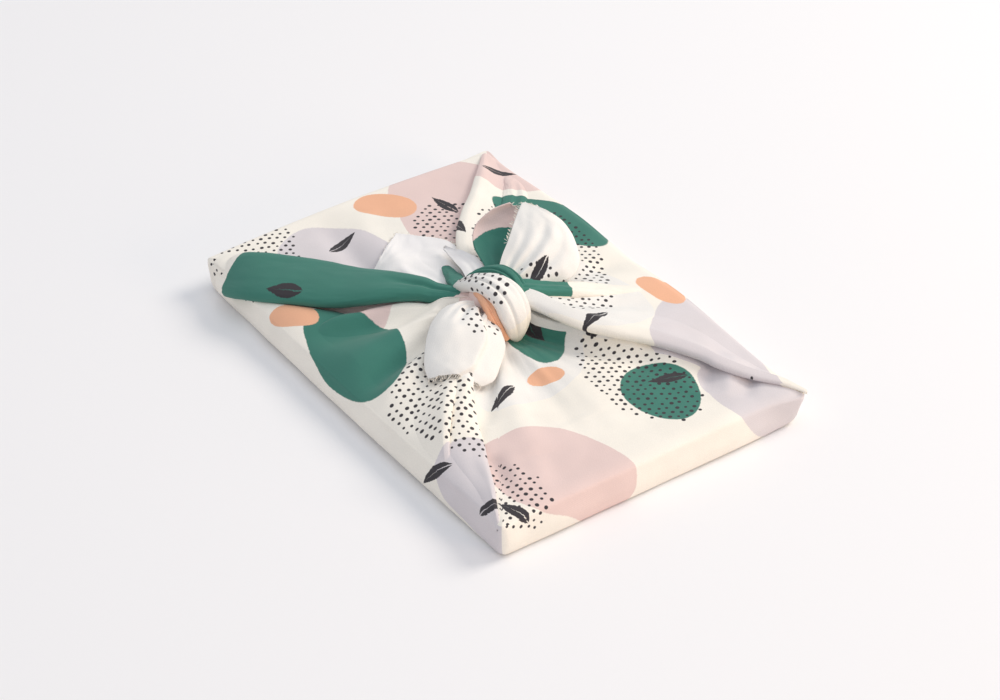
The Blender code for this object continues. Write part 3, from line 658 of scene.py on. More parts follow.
rings, climbs, climbed = [], [], np.zeros(len(base))
for inset in BASE_INSETS:
    rings.append(np.concatenate((base * inset, np.zeros((len(base), 1))), 1))
    climbs.append(climbed)
wall_rows = along_rows(WALL, FINE_WALL)
rim = base + outward * (wall_rows[-1, 1] + belly * wall_rows[-1, 2] - 0.5 * rounding)[:, None]
rim = rim + ear * wall_rows[-1, 3]
rim_height = cloth_top(rim[:, 0], rim[:, 1])
for height, out, belly_share, ear_share in wall_rows:
    held = max(height, 0)
    lean_in = 0.5 * rounding * smooth((held - LEAN_FROM) / LEAN_OVER)
    stand = out + belly * belly_share - lean_in
    at = base + outward * stand[:, None] + ear * ear_share
    z = BOOK_TOP * height + (rim_height - BOOK_TOP) * held**3
    ring = np.column_stack((at, z))
    slack = np.sin(np.pi * np.clip(height, 0, 1)) * WALL_SLACK
    ring[:, :2] += outward * (slack * unevenness(ring, SLACK_SIZE, 4))[:, None]
    if len(climbs) > len(BASE_INSETS):
        climbed = climbed + np.linalg.norm(ring - rings[-1], axis=1)
    rings.append(ring)
    climbs.append(climbed)
edge = rings[-1][:, :2]
for share in np.linspace(0, 1, FINE_TOP + 1)[1:-1] ** TOP_SPACING:
    at = edge + (KNOT - edge) * share
    rings.append(np.column_stack((at, cloth_top(at[:, 0], at[:, 1]))))
    climbs.append(climbed)


def flap_print(side, x, y):
    """Where on the flat cloth a point of a side's flap lies, for a point on the top."""
    away = np.stack((x, y), -1) - KNOT
    ends = np.array((HALF_LENGTH, HALF_WIDTH, -HALF_LENGTH, -HALF_WIDTH))[side]
    own = np.where(side % 2 == 0, away[..., 0], away[..., 1])
    whole = (ends - np.where(side % 2 == 0, *KNOT)) / np.where(np.abs(own) < TINY, TINY, own)
    runs = runs_along(KNOT + away * np.clip(whole, 0, FAR_AWAY)[..., None])
    edge_climb = climbed - inward_of(rim_side, edge[:, 0], edge[:, 1])
    tables = []
    for number in range(4):
        mine = rim_side == number
        order = np.argsort(rim_run[mine])
        tables.append((rim_run[mine][order], edge_climb[mine][order]))
    up_wall = np.choose(side, [np.interp(run, *table) for run, table in zip(runs, tables)])
    return print_place(side, x, y, up_wall)


def quad_corners(grid):
    """The grid's value at the four corners of each of its quads, round a closed ring."""
    after = np.roll(grid, -1, 1)
    return np.stack((grid[:-1], after[:-1], after[1:], grid[1:]), 2)


# Each quad reads the print of one flap at all its corners, so where two flaps meet it breaks off. On
# the walls the print runs on from the edge of the flap.
rings, climbs = np.array(rings), np.array(climbs)
points, ups = quad_corners(rings), quad_corners(climbs)
quad_side = np.broadcast_to(rim_side, points.shape[:2])
way, left = to_knot(CORNERS["near"])
middle = points.mean(2)[..., :2] - CORNERS["near"]
seam_at = np.interp(middle @ way / (way @ way), *np.array(NEAR_SEAM).T)
on_top = (np.arange(len(rings) - 1) >= len(rings) - FINE_TOP)[:, None]
under_lap = on_top & (quad_side == 3) & (middle @ left < seam_at)
quad_side = np.where(under_lap, 0, quad_side)[..., None] + np.zeros(4, int)
feet = quad_corners(np.broadcast_to(base, rings[..., :2].shape))
on_wall = print_place(quad_side, feet[..., 0], feet[..., 1], ups)
on_flap = flap_print(quad_side, points[..., 0], points[..., 1])
corner_places = np.where(on_top[..., None, None], on_flap, on_wall)
parcel = dress(closed_rings("wrapped_parcel", rings, corner_places))


# --- The rolled corner and the soft rolls --------------------------------------------------------
# At the left corner the cloth is rolled in and drawn to the knot, and behind the knot two gathers of
# the far flaps lie in soft rolls. Each is several thicknesses of cloth with an oval section.
LEFT_ROLL = (
    # share, left, rise, width, thick, tip, crown
    (0.045, 1, -7, 9, 5.6, 24, 0),
    (0.08, -1.6, -4.8, 17, 7.2, 26, 0),
    (0.12, -5.4, -1.9, 23.5, 8.4, 26, 0),
    (0.21, -7.6, 1.1, 28.5, 9.3, 15, 0.3),
    (0.34, -7, 2.4, 30, 9.6, 8, 0.3),
    (0.48, -6.2, 2.6, 29, 9.6, 5, 0.3),
    (0.6, -4.6, 2.7, 24.5, 9.2, 3, 0.3),
    (0.7, -2, 3.1, 18, 8.2, 2, 0),
    (0.8, 0.6, 3.3, 12, 7.2, 2, 0),
    (0.88, 1.2, 3.2, 9, 6.8, 0, 0),
    (0.95, 0.6, 2.6, 8, 6.8, 0, 0),
)
# These two neither tip nor have a crown.
FAR_FOLD = (
    (0.14, 9, -3.6, 5, 4),
    (0.2, 11, -2, 8.5, 5.2),
    (0.3, 13, -0.8, 12, 6),
    (0.45, 10.5, -0.2, 12.5, 6.4),
    (0.6, 7.5, 0.8, 12, 7.4),
    (0.75, 4, 1.8, 11, 8.4),
    (0.88, 1, 2.4, 9.5, 9),
)
UPPER_FOLD = (
    (0.16, 6.5, -1.8, 6, 4),
    (0.32, 4.6, -0.6, 9, 5.4),
    (0.5, 2.4, 0.8, 11, 6.8),
    (0.66, 0.8, 2, 12, 8),
    (0.82, 0, 3, 11, 9),
    (0.92, 0, 3, 9, 9),
)
# Lines pressed into a roll by the folds below: from where along it and at what angle round it, with
# 90 on top, to where, then the half-width as an angle and the depth.
LEFT_LINES = (
    # share, angle, to share, to angle, width, depth
    (0.62, 84, 1, 104, 9, -1.5),
    (0.74, 52, 1, 64, 8, -1.2),
    (0, 98, 0.3, 120, 16, -0.8),
    (0.25, 60, 0.75, 96, 20, -0.4),
)
SOFT_LINES = (
    (0.2, 80, 1, 92, 14, -0.9),
    (0.4, 118, 1, 124, 12, -0.8),
    (0.5, 50, 1, 58, 12, -0.7),
)
ROLLS = (
    # name, from, rows, pressed lines, the print's place: u, v, turn
    ("left_roll", CORNERS["left"], LEFT_ROLL, LEFT_LINES, (-395, -82, 0)),
    ("far_fold", CORNERS["far"], FAR_FOLD, SOFT_LINES, None),
    ("upper_fold", np.array((20.0, HALF_WIDTH)), UPPER_FOLD, SOFT_LINES, (240, 96, 0)),
)
ROLL_STEPS, ROLL_AROUND, SQUARENESS = 150, 88, 2.4
# How far a pressed line and a roll's end take to run out, as shares of the roll, and how much of
# the line is left at its end.
LINE_FADE, END_FADE, LINE_KEEPS = 0.12, 0.16, 0.4
# The roll's unevenness in height, coarse and fine, its waves round and along it, and how much closer
# the fine ones are.
ROLL_UNEVEN, WAVES_ROUND, WAVES_ALONG, FINER = (0.55, 0.16), 1.5, 5, (4, 4, 5)
# How high a roll that is folded over the corner lies on the flaps at its tip, how much higher beyond
# it and over how much of its length, and how far along it this holds.
REST_LOW, REST_RISE, REST_OVER, REST_UNTIL = 0.25, 0.45, 0.08, 0.3


def squared(values):
    """A sine or cosine, moved outwards, for a section that is fuller than an ellipse."""
    return np.copysign(np.abs(values) ** (2 / SQUARENESS), values)


def turned_print(print_at, u, v):
    """Where on the flat cloth a point is that lies u along and v across a piece with its own place
    and turn in the cloth."""
    turned = math.radians(print_at[2])
    along = print_at[0] + u * math.cos(turned) - v * math.sin(turned)
    return np.stack((along, print_at[1] + u * math.sin(turned) + v * math.cos(turned)), -1)


def printed_as(flap, rings):
    """The print's place for rings that carry on the print of a flap."""
    closed = np.concatenate((rings, rings[:, :1]), 1)
    number = np.full(closed.shape[:2], SIDES.index(flap))
    return flap_print(number, closed[..., 0], closed[..., 1])


def rolled(name, middles, side_hint, shape, lines, seed, print_at=None, swell=1.0, folded_over=False):
    """A roll of cloth along its middles. Its shape gives each section's width, thickness, tip and
    crown, or the first two, and the lines are pressed along it. It may start folded over the
    parcel's corner."""
    along = unit(np.gradient(middles, axis=0))
    across = unit(side_hint - along * (side_hint * along).sum(1, keepdims=True))
    up = np.cross(along, across)
    width, thick, tip, crown = np.pad(shape, ((0, 0), (0, 4 - shape.shape[1]))).T[..., None]
    lean = np.radians(tip)
    across, up = across * np.cos(lean) + up * np.sin(lean), up * np.cos(lean) - across * np.sin(lean)
    angle = np.linspace(0, math.tau, ROLL_AROUND, endpoint=False)
    share = np.linspace(0, 1, ROLL_STEPS)
    press = np.zeros((ROLL_STEPS, ROLL_AROUND))
    for share0, angle0, share1, angle1, spread_by, depth in lines:
        t = np.clip((share - share0) / (share1 - share0), 0, 1)[:, None]
        there = np.clip((share[:, None] - share0) / LINE_FADE, 0, 1)
        there = there * np.clip((share1 - share[:, None]) / LINE_FADE + LINE_KEEPS, 0, 1)
        off = (np.degrees(angle)[None] - (angle0 + t * (angle1 - angle0)) + 180) % 360 - 180
        press += depth * np.exp(-((off / spread_by) ** 2)) * there
    flat, tall = squared(np.cos(angle))[None], squared(np.sin(angle))[None]
    circle = [way[None] * WAVES_ROUND for way in (np.cos(angle), np.sin(angle))]
    spots = np.stack(np.broadcast_arrays(*circle, share[:, None] * WAVES_ALONG), -1)
    for height, finer, more in zip(ROLL_UNEVEN, ((1, 1, 1), FINER), (0, 1)):
        press += height * swell * unevenness(spots * finer, 1.0, seed + more)
    ends = np.clip(np.minimum(share, 1 - share) / END_FADE, 0.1, 1)[:, None]
    side = flat * (width / 2 + press * ends)
    lift = tall * (thick / 2 + press * ends) + crown * (1 - flat**2)
    rings = middles[:, None] + across[:, None] * side[..., None] + up[:, None] * lift[..., None]
    if folded_over:
        resting = cloth_top(rings[..., 0], rings[..., 1])
        resting = resting + REST_LOW + REST_RISE * smooth(share / REST_OVER)[:, None]
        on_top = np.all(np.abs(rings[..., :2]) < HALVES - 1, axis=-1)
        on_top &= (np.sin(angle) > -0.1) & (share < REST_UNTIL)[:, None]
        rings[..., 2] = np.where(on_top, np.maximum(rings[..., 2], resting), rings[..., 2])
    if print_at is None:
        return dress(closed_rings(name, rings, printed_as("far_right", rings)))
    closed = np.concatenate((rings, rings[:, :1]), 1)
    run = np.linalg.norm(np.diff(middles, axis=0), axis=1)
    round_it = np.linalg.norm(np.diff(closed, axis=1), axis=2).mean(0)
    run, round_it = (np.append(0, np.cumsum(steps)) for steps in (run, round_it))
    ring_uv = turned_print(print_at, run[:, None], round_it[None])
    return dress(closed_rings(name, rings, ring_uv))


for number, (name, start, rows, lines, print_at) in enumerate(ROLLS):
    table = along_rows(rows, ROLL_STEPS)
    way, left = to_knot(start)
    plan = start + way * table[:, :1] + left * table[:, 1:2]
    middles = np.column_stack((plan, cloth_top(plan[:, 0], plan[:, 1]) + table[:, 2]))
    at_corner = name == "left_roll"
    hint = np.append(left, 0.0)
    rolled(name, middles, hint, table[:, 3:], lines, 10 + 3 * number, print_at, folded_over=at_corner)


# --- The lapped flaps ----------------------------------------------------------------------------
# Along the diagonals one flap is folded under itself and laps over its neighbour. Each lap is a soft
# fold with a round edge, and its other side runs out into the flap that it is part of. The one at the
# right corner stands free of the flap below it.
NEAR_LAP = (
    # share, edge, reach, height, edge radius
    (0.014, 0.5, 1.6, -1.2, 0.5),
    (0.06, 0.9, 3.6, 1.4, 0.8),
    (0.206, 2.6, 11, 2.4, 1.1),
    (0.357, 5.6, 20, 3, 1.3),
    (0.5, 9, 24, 3.6, 1.5),
    (0.644, 9.8, 24, 4.2, 1.7),
    (0.79, 6, 18, 4.8, 1.9),
    (0.91, 1.4, 10, 4, 1.8),
)
NEAR_RIDGE = (
    (0.27, 20, 3, -3.4, 1),
    (0.31, 20.8, 6, -0.8, 1.2),
    (0.35, 21, 10, 1.8, 1.4),
    (0.41, 20.8, 15, 4, 1.7),
    (0.47, 19.8, 19, 5.4, 2),
    (0.54, 18.8, 21, 5.4, 2.2),
    (0.61, 17.2, 21, 4.4, 2.2),
    (0.68, 15.2, 20, 3.2, 2),
    (0.79, 10.4, 16, 2.4, 1.8),
    (0.9, 4, 11, 2, 1.6),
)
LEFT_LAP = (
    (0.47, -31, -3.5, -2.6, 0.9),
    (0.5, -29.5, -7, -0.4, 1),
    (0.54, -25, -13, 1.8, 1),
    (0.59, -19.5, -17, 2.8, 1.3),
    (0.645, -14.4, -18, 3.4, 1.6),
    (0.7, -10.4, -18, 4.2, 1.9),
    (0.755, -7.4, -17, 5.2, 2.1),
    (0.815, -4.4, -15, 5.8, 2.2),
    (0.886, -1.6, -11, 5.8, 2.2),
    (0.94, -0.8, -8, 4.8, 2),
)
FAR_LAP = (
    (-0.01, -1.2, 3, -1.5, 0.5),
    (0.02, -2, 5.5, 0.5, 0.7),
    (0.05, -2.8, 8.5, 1.5, 0.9),
    (0.09, -3.7, 11, 2.5, 1.2),
    (0.186, -5.8, 17, 4, 1.7),
    (0.316, -9.6, 21, 4.8, 2),
    (0.407, -13.2, 24, 5.2, 2.2),
    (0.52, -16, 26, 5.6, 2.4),
    (0.65, -16.4, 25, 6.4, 2.6),
    (0.78, -13, 22, 7, 2.8),
    (0.9, -7, 14, 6.4, 2.8),
)
RIGHT_LAP = (
    (-0.015, 0.1, -3, 0.6, 0.8),
    (0.03, 0, -4.5, 2.2, 1.4),
    (0.071, 0.2, -7, 3.4, 1.9),
    (0.14, 1.7, -12, 4.9, 2.4),
    (0.205, 2.1, -16, 6.2, 2.7),
    (0.271, 1.4, -20, 7.6, 2.9),
    (0.333, -0.4, -23, 8.8, 3),
    (0.453, -0.7, -28, 11, 3.3),
    (0.516, 0.3, -30, 12.2, 3.4),
    (0.61, 2.6, -31, 14, 3.6),
    (0.702, 4, -30, 15.7, 3.8),
    (0.79, 2.4, -25, 17.4, 4.1),
    (0.873, -0.2, -20, 18.8, 4.4),
    (0.95, -1, -14, 19, 4.6),
)
LAPS = (
    # name, from, flap, free, rows
    ("near_lap", "near", "near_left", False, NEAR_LAP),
    ("near_ridge", "near", "near_left", False, NEAR_RIDGE),
    ("left_lap", "left", "near_left", False, LEFT_LAP),
    ("far_lap", "far", "far_right", False, FAR_LAP),
    ("right_lap", "right", "far_right", True, RIGHT_LAP),
)
# The section of a lap, from its far side over its top, round its edge and back underneath.
LAP_SECTION = (
    # share of the reach, radii in, share of the height, radii down, sunk
    (1, 0, 0, 0, -0.9),
    (0.8, 0, 0.1, 0, -0.2),
    (0.6, 0, 0.33, 0, 0),
    (0.4, 0, 0.64, 0, 0),
    (0.2, 0.6, 0.9, 0, 0),
    (0, 1.6, 1, 0.04, 0),
    (0, 0.4, 1, 0.4, 0),
    (0, 0, 1, 1, 0),
    (0, 0.4, 1, 1.62, 0),
    (0, 1.6, 1, 2, 0),
    (0.22, 0, 0.8, 1.2, 0),
    (0.42, 0, 0.48, 0.8, 0),
    (0.62, 0, 0.16, 0.3, -1),
    (0.85, 0, 0, 0, -2),
)
LAP_STEPS, LAP_AROUND = 190, 76
# How far a lap sways aside and up and down, and the size of those waves.
SWAY_ASIDE, SWAY_UP, SWAY_SIZE = 0.35, 0.3, 9
section = np.array(LAP_SECTION + LAP_SECTION[:1])
section = along_rows(section, LAP_AROUND + 1)[:-1].T[:, None]
for number, (name, corner, flap, free, rows) in enumerate(LAPS):
    share, edge_at, reach, height, radius = along_rows(rows, LAP_STEPS).T[..., None]
    over, inward, level, down, sunk = section
    aside = over * reach + inward * radius * np.sign(reach)
    way, left = to_knot(CORNERS[corner])
    spots = np.stack(np.broadcast_arrays(share * SWAY_SIZE, aside / SWAY_SIZE), -1)
    sway = unevenness(spots, 1.0, 40 + number)
    plan = CORNERS[corner] + way * share[..., None] + left * (edge_at + aside + SWAY_ASIDE * sway)[..., None]
    ground = cloth_top(plan[..., 0], plan[..., 1])
    crest = (BOOK_TOP + height) * level + ground * (1 - level) if free else ground + height * level
    z = crest + SWAY_UP * sway * level - down * radius + sunk
    rings = np.concatenate((plan, z[..., None]), -1)
    dress(closed_rings(name, rings, printed_as(flap, rings)))


# --- The knot ------------------------------------------------------------------------------------
# Two corners of the cloth are tied in one hard knot. What shows is the tight core, the band of cloth
# that crosses over it with its long pleats, the narrow fold beside that band, the band behind, and
# the two folds that run into it in front and on the left.
KNOT_FOOT, BAND_SIDE = np.array((*KNOT, BOOK_TOP)), np.array((-0.1, 1.0, 0.0))
OVER_BAND = (
    # x, y, z, width, thick
    (-22.5, -5.2, 8.5, 5.5, 5),
    (-18, -4.8, 14, 8, 6.5),
    (-9.5, -3.4, 19.8, 11.5, 8),
    (0.5, -1.2, 23, 14.5, 8.8),
    (9.5, 0.8, 21, 16.5, 9),
    (15, 1.2, 14.5, 16, 9),
    (15.8, 1.2, 8, 12, 8.5),
    (13.5, 1.8, 1.5, 6, 7),
)
SIDE_BAND = (
    (-7, -5.6, 16, 3.5, 4),
    (-1, -7, 19, 4.4, 4.2),
    (5.5, -8, 18.8, 4.8, 4.4),
    (11, -8.2, 15, 4.8, 4.4),
    (14.6, -6.6, 9, 4.6, 4.4),
    (14.4, -3.6, 3.4, 4, 4.4),
)
BACK_BAND = (
    (-21, -2.5, 8, 9, 8),
    (-18.5, 4, 14, 10, 8.5),
    (-10.5, 9.4, 18.6, 10, 8.5),
    (-1.5, 11.2, 19, 9.5, 8),
    (5, 9.6, 15.5, 9, 8),
    (8, 6, 9, 8, 7),
)
FRONT_FOLD = (
    (-21, -11, 6.5, 6, 5),
    (-14, -9.8, 10.5, 7.5, 6.2),
    (-7, -8.2, 12.8, 7.5, 6.6),
    (0, -6.6, 13.6, 6.5, 6.4),
    (5, -5, 13, 5, 5.4),
)
ROOT_FOLD = (
    (-12, -4, 10.5, 8, 7),
    (-21, -3.4, 10.5, 8.5, 5.6),
    (-29, -1.8, 9.4, 8, 4.4),
    (-37, 0.6, 7.8, 6.5, 3.4),
    (-44, 2.6, 6.6, 4, 2.4),
)
OVER_LINES = (
    (0, 124, 0.9, 108, 6, -1.3),
    (0.1, 92, 0.6, 84, 5, -0.7),
    (0.3, 58, 1, 66, 5, -0.8),
    (0.4, 36, 1, 48, 5, -0.9),
    (0.5, 14, 1, 30, 5, -0.8),
)
BACK_LINES = (
    (0, 66, 1, 58, 7, -1.4),
    (0.1, 100, 1, 112, 7, -1.3),
    (0, 132, 0.9, 138, 8, -1),
)
BANDS = (
    # name, rows, pressed lines, the print's place
    ("knot_over_band", OVER_BAND, OVER_LINES, (310, 300, 0)),
    ("knot_side_band", SIDE_BAND, SOFT_LINES, (330, 345, 0)),
    ("knot_back_band", BACK_BAND, BACK_LINES, (-60, 290, 0)),
    ("knot_root_fold", ROOT_FOLD, SOFT_LINES, (-50, 296, 0)),
    ("knot_front_fold", FRONT_FOLD, SOFT_LINES, (20, 330, 0)),
)
for number, (name, rows, lines, print_at) in enumerate(BANDS):
    table = along_rows(rows, ROLL_STEPS)
    middles, seed = KNOT_FOOT + table[:, :3], 60 + 3 * number
    rolled(name, middles, BAND_SIDE, table[:, 3:], lines, seed, print_at, swell=0.8)

CORE_CENTRE, CORE_RADII = np.array((-1.0, 0.4, 12.0)), np.array((13.5, 10.8, 11.6))
CORE_RINGS, CORE_AROUND, CORE_UNEVEN, UNEVEN_SIZE = 48, 72, 0.09, np.array((0.35, 0.35, 1.1))
CORE_PRINT, CORE_GIRTH = (-60, 300, 0), 13
around = np.linspace(0, math.tau, CORE_AROUND, endpoint=False)
core = []
for k in range(1, CORE_RINGS):
    lean = math.pi * k / CORE_RINGS - math.pi / 2
    ring = (np.cos(around) * math.cos(lean), np.sin(around) * math.cos(lean), around * 0 + math.sin(lean))
    ring = np.column_stack(ring)
    ring = ring * (1 + CORE_UNEVEN * unevenness(ring, UNEVEN_SIZE, 80))[:, None]
    core.append(KNOT_FOOT + CORE_CENTRE + ring * CORE_RADII)
core = np.array(core)
girth = np.append(around, math.tau)[None] * CORE_GIRTH
core_uv = turned_print(CORE_PRINT, girth, np.arange(CORE_RINGS - 1)[:, None])
dress(closed_rings("knot_core", core, core_uv))


# --- The free ends -------------------------------------------------------------------------------
# The tips of the cloth beyond the knot, one thickness of cotton with raw cut hems. The front end and
# the two back ends stand up a little by their own stiffness. The left one lies on the flaps with its
# unprinted side up and a strip of it turned over.
CLOTH_THICK = 0.7
FRONT_END = (
    # left x, y, z, right x, y, z, crown
    (-4, -8.5, 13.5, 6.5, -8, 12.5, 0),
    (-7, -20.5, 15.5, 13, -8, 15, 1.6),
    (-2.4, -31.2, 16, 21, -9.6, 14.2, 2.4),
    (4.4, -39.2, 15, 28.5, -13.4, 12.6, 3),
    (11.5, -45.5, 12.6, 35, -20.6, 10.8, 3),
    (18.5, -50.5, 9.8, 40.5, -28, 9, 2.6),
    (25, -52.6, 7.8, 40, -35, 8.6, 2),
)
FRONT_END_CREASES = (
    # along, across, to along, to across, width, depth
    (0, 0.5, 0.45, 0.36, 1.6, -1.6),
    (0, 0.36, 0.4, 0.2, 1.6, -1.2),
    (0, 0.28, 0.5, 0.1, 2.2, 1),
    (0.2, 0.3, 1, 0.4, 4, 0.7),
)
BACK_LEAF = (
    (-15, 9, 14, -4, 13, 15, 0),
    (-24, 11.5, 15, -8, 21, 18, 0),
    (-37, 15, 16.5, -14, 30, 19.5, -1.5),
    (-45, 21, 20.5, -18, 37, 21, -3),
    (-45.5, 30, 25.5, -22, 44, 23.5, -3),
    (-42, 39, 28.5, -28, 48, 26.5, -2),
)
BACK_LEAF_CREASES = (
    (0, 0.5, 0.7, 0.45, 2, -1.2),
    (0, 0.25, 0.6, 0.3, 1.8, 0.8),
)
BACK_LOBE = (
    (-12, 10, 18, 3, 12, 14.5, 0),
    (-18, 17, 22, 4.5, 20, 15, 1.5),
    (-23, 24, 25, 6, 29, 15.5, 3.5),
    (-29, 31, 27.5, 7.5, 38, 17.5, 4.5),
    (-35, 38, 29, 3, 46, 20.5, 4.5),
    (-38.5, 43.5, 29.5, -9, 51, 24.5, 3.5),
    (-33, 47, 29.8, -21, 51, 28.5, 1.5),
)
BACK_LOBE_CREASES = (
    (0, 0.5, 0.75, 0.42, 2.2, -2),
    (0, 0.7, 0.8, 0.72, 2.2, -1.5),
    (0, 0.28, 0.6, 0.2, 2, -1.2),
    (0, 0.6, 0.7, 0.56, 2, 0.9),
    (0, 0.86, 0.6, 0.88, 1.8, 0.9),
)
LEFT_TURN = (
    (-16, -1.5, 11, -16.5, 8.5, 13, 0),
    (-28.8, 2.2, 12.8, -29.5, 12.6, 14.2, 0.8),
    (-39, 4.6, 11.6, -41, 12.2, 12.6, 0.7),
    (-48, 7, 10.2, -49, 10.8, 10.6, 0.3),
    (-54.5, 8.8, 9.3, -55, 9.8, 9.4, 0),
)
LEFT_TURN_CREASES = (
    (0, 0.4, 0.8, 0.5, 1.6, -0.8),
)
LEFT_END = (
    (-15, -6, 2, -16, 7, 2, 0),
    (-30, -12, 1.8, -32, 13, 2, 0.4),
    (-45, -19, 1.5, -49, 16, 1.7, 0.2),
    (-57, -24, 1.4, -65, 17, 1.5, 0.2),
    (-64.5, -25, 1.4, -77, 9, 1.4, 0),
    (-70, -17, 1.4, -84.5, 1, 1.4, 0),
)
LEFT_END_CREASES = (
    (0, 0.35, 0.6, 0.3, 2, -1),
    (0, 0.7, 0.7, 0.74, 2.4, 1.2),
    (0.35, 0.1, 0.9, 0.5, 3, 0.7),
)
ENDS = (
    # name, rows, laid on the flaps, printed side up, print's place, flat size in metres, held,
    # what it lies on, creases, curl of the left and right edges
    ("front_end", FRONT_END, False, True, (150, 300, 20), (0.05, 0.036), "draped",
     ["wrapped_parcel"], FRONT_END_CREASES, (-2.2, -2.6)),
    ("back_leaf", BACK_LEAF, False, True, (-40, 290, 60), (0.046, 0.03), "gathered",
     ["wrapped_parcel"], BACK_LEAF_CREASES, (2.4, 0.6)),
    ("back_lobe", BACK_LOBE, False, True, (130, 360, -30), (0.044, 0.04), "gathered",
     ["back_leaf", "wrapped_parcel"], BACK_LOBE_CREASES, (0.8, -2.4)),
    ("left_end", LEFT_END, True, False, (0, 220, 0), (0.06, 0.034), "laid",
     ["wrapped_parcel", "left_roll"], LEFT_END_CREASES, (0.5, 0.9)),
    ("left_end_turn", LEFT_TURN, False, False, (40, 220, 0), (0.04, 0.0105), "folded",
     ["left_end"], LEFT_TURN_CREASES, (0.3, 0.8)),
)
# Where the front end is folded on itself: how far along and how far across. Right of that line it is
# one layer lower.
LAYERED = {"front_end": ((0, 0.6), (0.15, 0.64), (0.35, 0.73), (0.55, 0.77), (0.8, 0.72), (1, 0.62))}
LAYER_STEP, LAYER_SOFT = 3.0, 0.5
# How far over the flaps a laid end lies, how close to its edges an end curls, its unevenness as
# height, size and seed, and how far and how finely its cut tip is ragged.
LAID_ABOVE, CURL_POWER, END_UNEVEN = 1.4, 9, ((0.9, 13.0, 90), (0.3, 5.0, 95))
RAGGED, RAGGED_FINE, RAGGED_SIZE = 0.45, 60, 3.0
# A crease's width at its start as a share of the given one, how it widens, and how it runs out.
CREASE_FROM, CREASE_WIDENS, CREASE_POWER = 0.6, 0.9, 0.6
END_STEPS, END_ACROSS = 110, 84


def facing(surface):
    """Which way each point of a sheet's grid faces."""
    return unit(np.cross(np.gradient(surface, axis=0), np.gradient(surface, axis=1)))


end_surfaces = {}
for number, (name, rows, laid, printed, print_at, flat, held, rests_on, creases, curls) in enumerate(ENDS):
    table = along_rows(rows, END_STEPS)
    edges = [KNOT_FOOT + table[:, k : k + 3] for k in (0, 3)]
    if laid:
        for edge in edges:
            edge[:, 2] += cloth_top(edge[:, 0], edge[:, 1]) - BOOK_TOP
    s = np.linspace(0, 1, END_ACROSS)[None]
    t = np.linspace(0, 1, END_STEPS)[:, None]
    surface = edges[0][:, None] * (1 - s[..., None]) + edges[1][:, None] * s[..., None]
    if laid:
        resting = cloth_top(surface[..., 0], surface[..., 1]) + LAID_ABOVE
        surface[..., 2] = np.maximum(surface[..., 2], resting)
    along, up = np.gradient(surface, axis=0), facing(surface)
    flip = -1.0 if up[..., 2].mean() < 0 else 1.0
    spans = np.linalg.norm(edges[1] - edges[0], axis=1)[:, None]
    full_length = np.linalg.norm(np.diff(surface[:, END_ACROSS // 2], axis=0), axis=1).sum()
    lift = table[:, 6:7] * (1 - (2 * s - 1) ** 2)
    for t0, s0, t1, s1, width, depth in creases:
        held_at = np.clip((t - t0) / (t1 - t0), 0, 1)
        off = (s - (s0 + held_at * (s1 - s0))) * spans
        past = np.maximum(t - t1, 0) * full_length
        run_out = np.cos(0.5 * np.pi * held_at) ** CREASE_POWER
        spread_by = width * (CREASE_FROM + CREASE_WIDENS * held_at)
        lift = lift + depth * np.exp(-((np.hypot(off, past) / spread_by) ** 2)) * run_out
    if name in LAYERED:
        line = np.interp(t, *np.array(LAYERED[name]).T)
        lift = lift - 0.5 * LAYER_STEP * np.tanh((s - line) * spans / LAYER_SOFT)
    # At the knot a sheet is held, so it curls and is uneven only further out.
    free, loose = np.minimum(1, 3 * t), np.minimum(1, 2 * t)
    lift = lift + curls[0] * (1 - s) ** CURL_POWER * free + curls[1] * s**CURL_POWER * free
    spots = np.stack(np.broadcast_arrays(t * full_length, s * spans), -1)
    waves = sum(height * unevenness(spots, size, seed + number) for height, size, seed in END_UNEVEN)
    surface = surface + up * flip * (lift + waves * loose)[..., None]
    tip = np.column_stack((s[0] * RAGGED_FINE, np.ones(END_ACROSS)))
    surface[-1] += unit(along[-1]) * RAGGED * unevenness(tip, RAGGED_SIZE, 99)[:, None]
    under = surface - facing(surface) * flip * CLOTH_THICK
    end_surfaces[name] = surface

    points = np.concatenate((surface.reshape(-1, 3), under.reshape(-1, 3)))
    below = END_STEPS * END_ACROSS
    index = np.arange(below).reshape(END_STEPS, END_ACROSS)
    quads = np.stack((index[:-1, :-1], index[:-1, 1:], index[1:, 1:], index[1:, :-1]), -1).reshape(-1, 4)
    rim = np.concatenate((index[0, :-1], index[:-1, -1], index[-1, :0:-1], index[:0:-1, 0]))
    rim_after = np.roll(rim, -1)
    walls = np.stack((rim_after, rim, rim + below, rim_after + below), -1)
    faces = np.concatenate((quads, quads[:, ::-1] + below, walls))
    place = turned_print(print_at, t * full_length, (s - 0.5) * spans).reshape(-1, 2)
    place = np.concatenate((place, place))
    sides = np.repeat((0, 1, 0), (len(quads), len(quads), len(walls)))
    cloths = (PRINT, REVERSE) if printed else (REVERSE, PRINT)
    piece = dress(new_piece(name, points, faces.tolist(), list(place[faces]), cloths, sides))


# --- The frayed hems -----------------------------------------------------------------------------
# The free ends are cut from the cloth and not hemmed, so along each cut edge a few threads of the
# weave have worked loose. They are as thick as the cloth's thread and 1 to 3 mm long.
THREAD_BENDS = (
    # point of its curve, aside and along as shares of its length
    ("Start", 0.0, -0.35),
    ("Start Handle", 0.0, 0.2),
    ("End Handle", 0.1, 0.6),
    ("End", 0.3, 1.0),
)
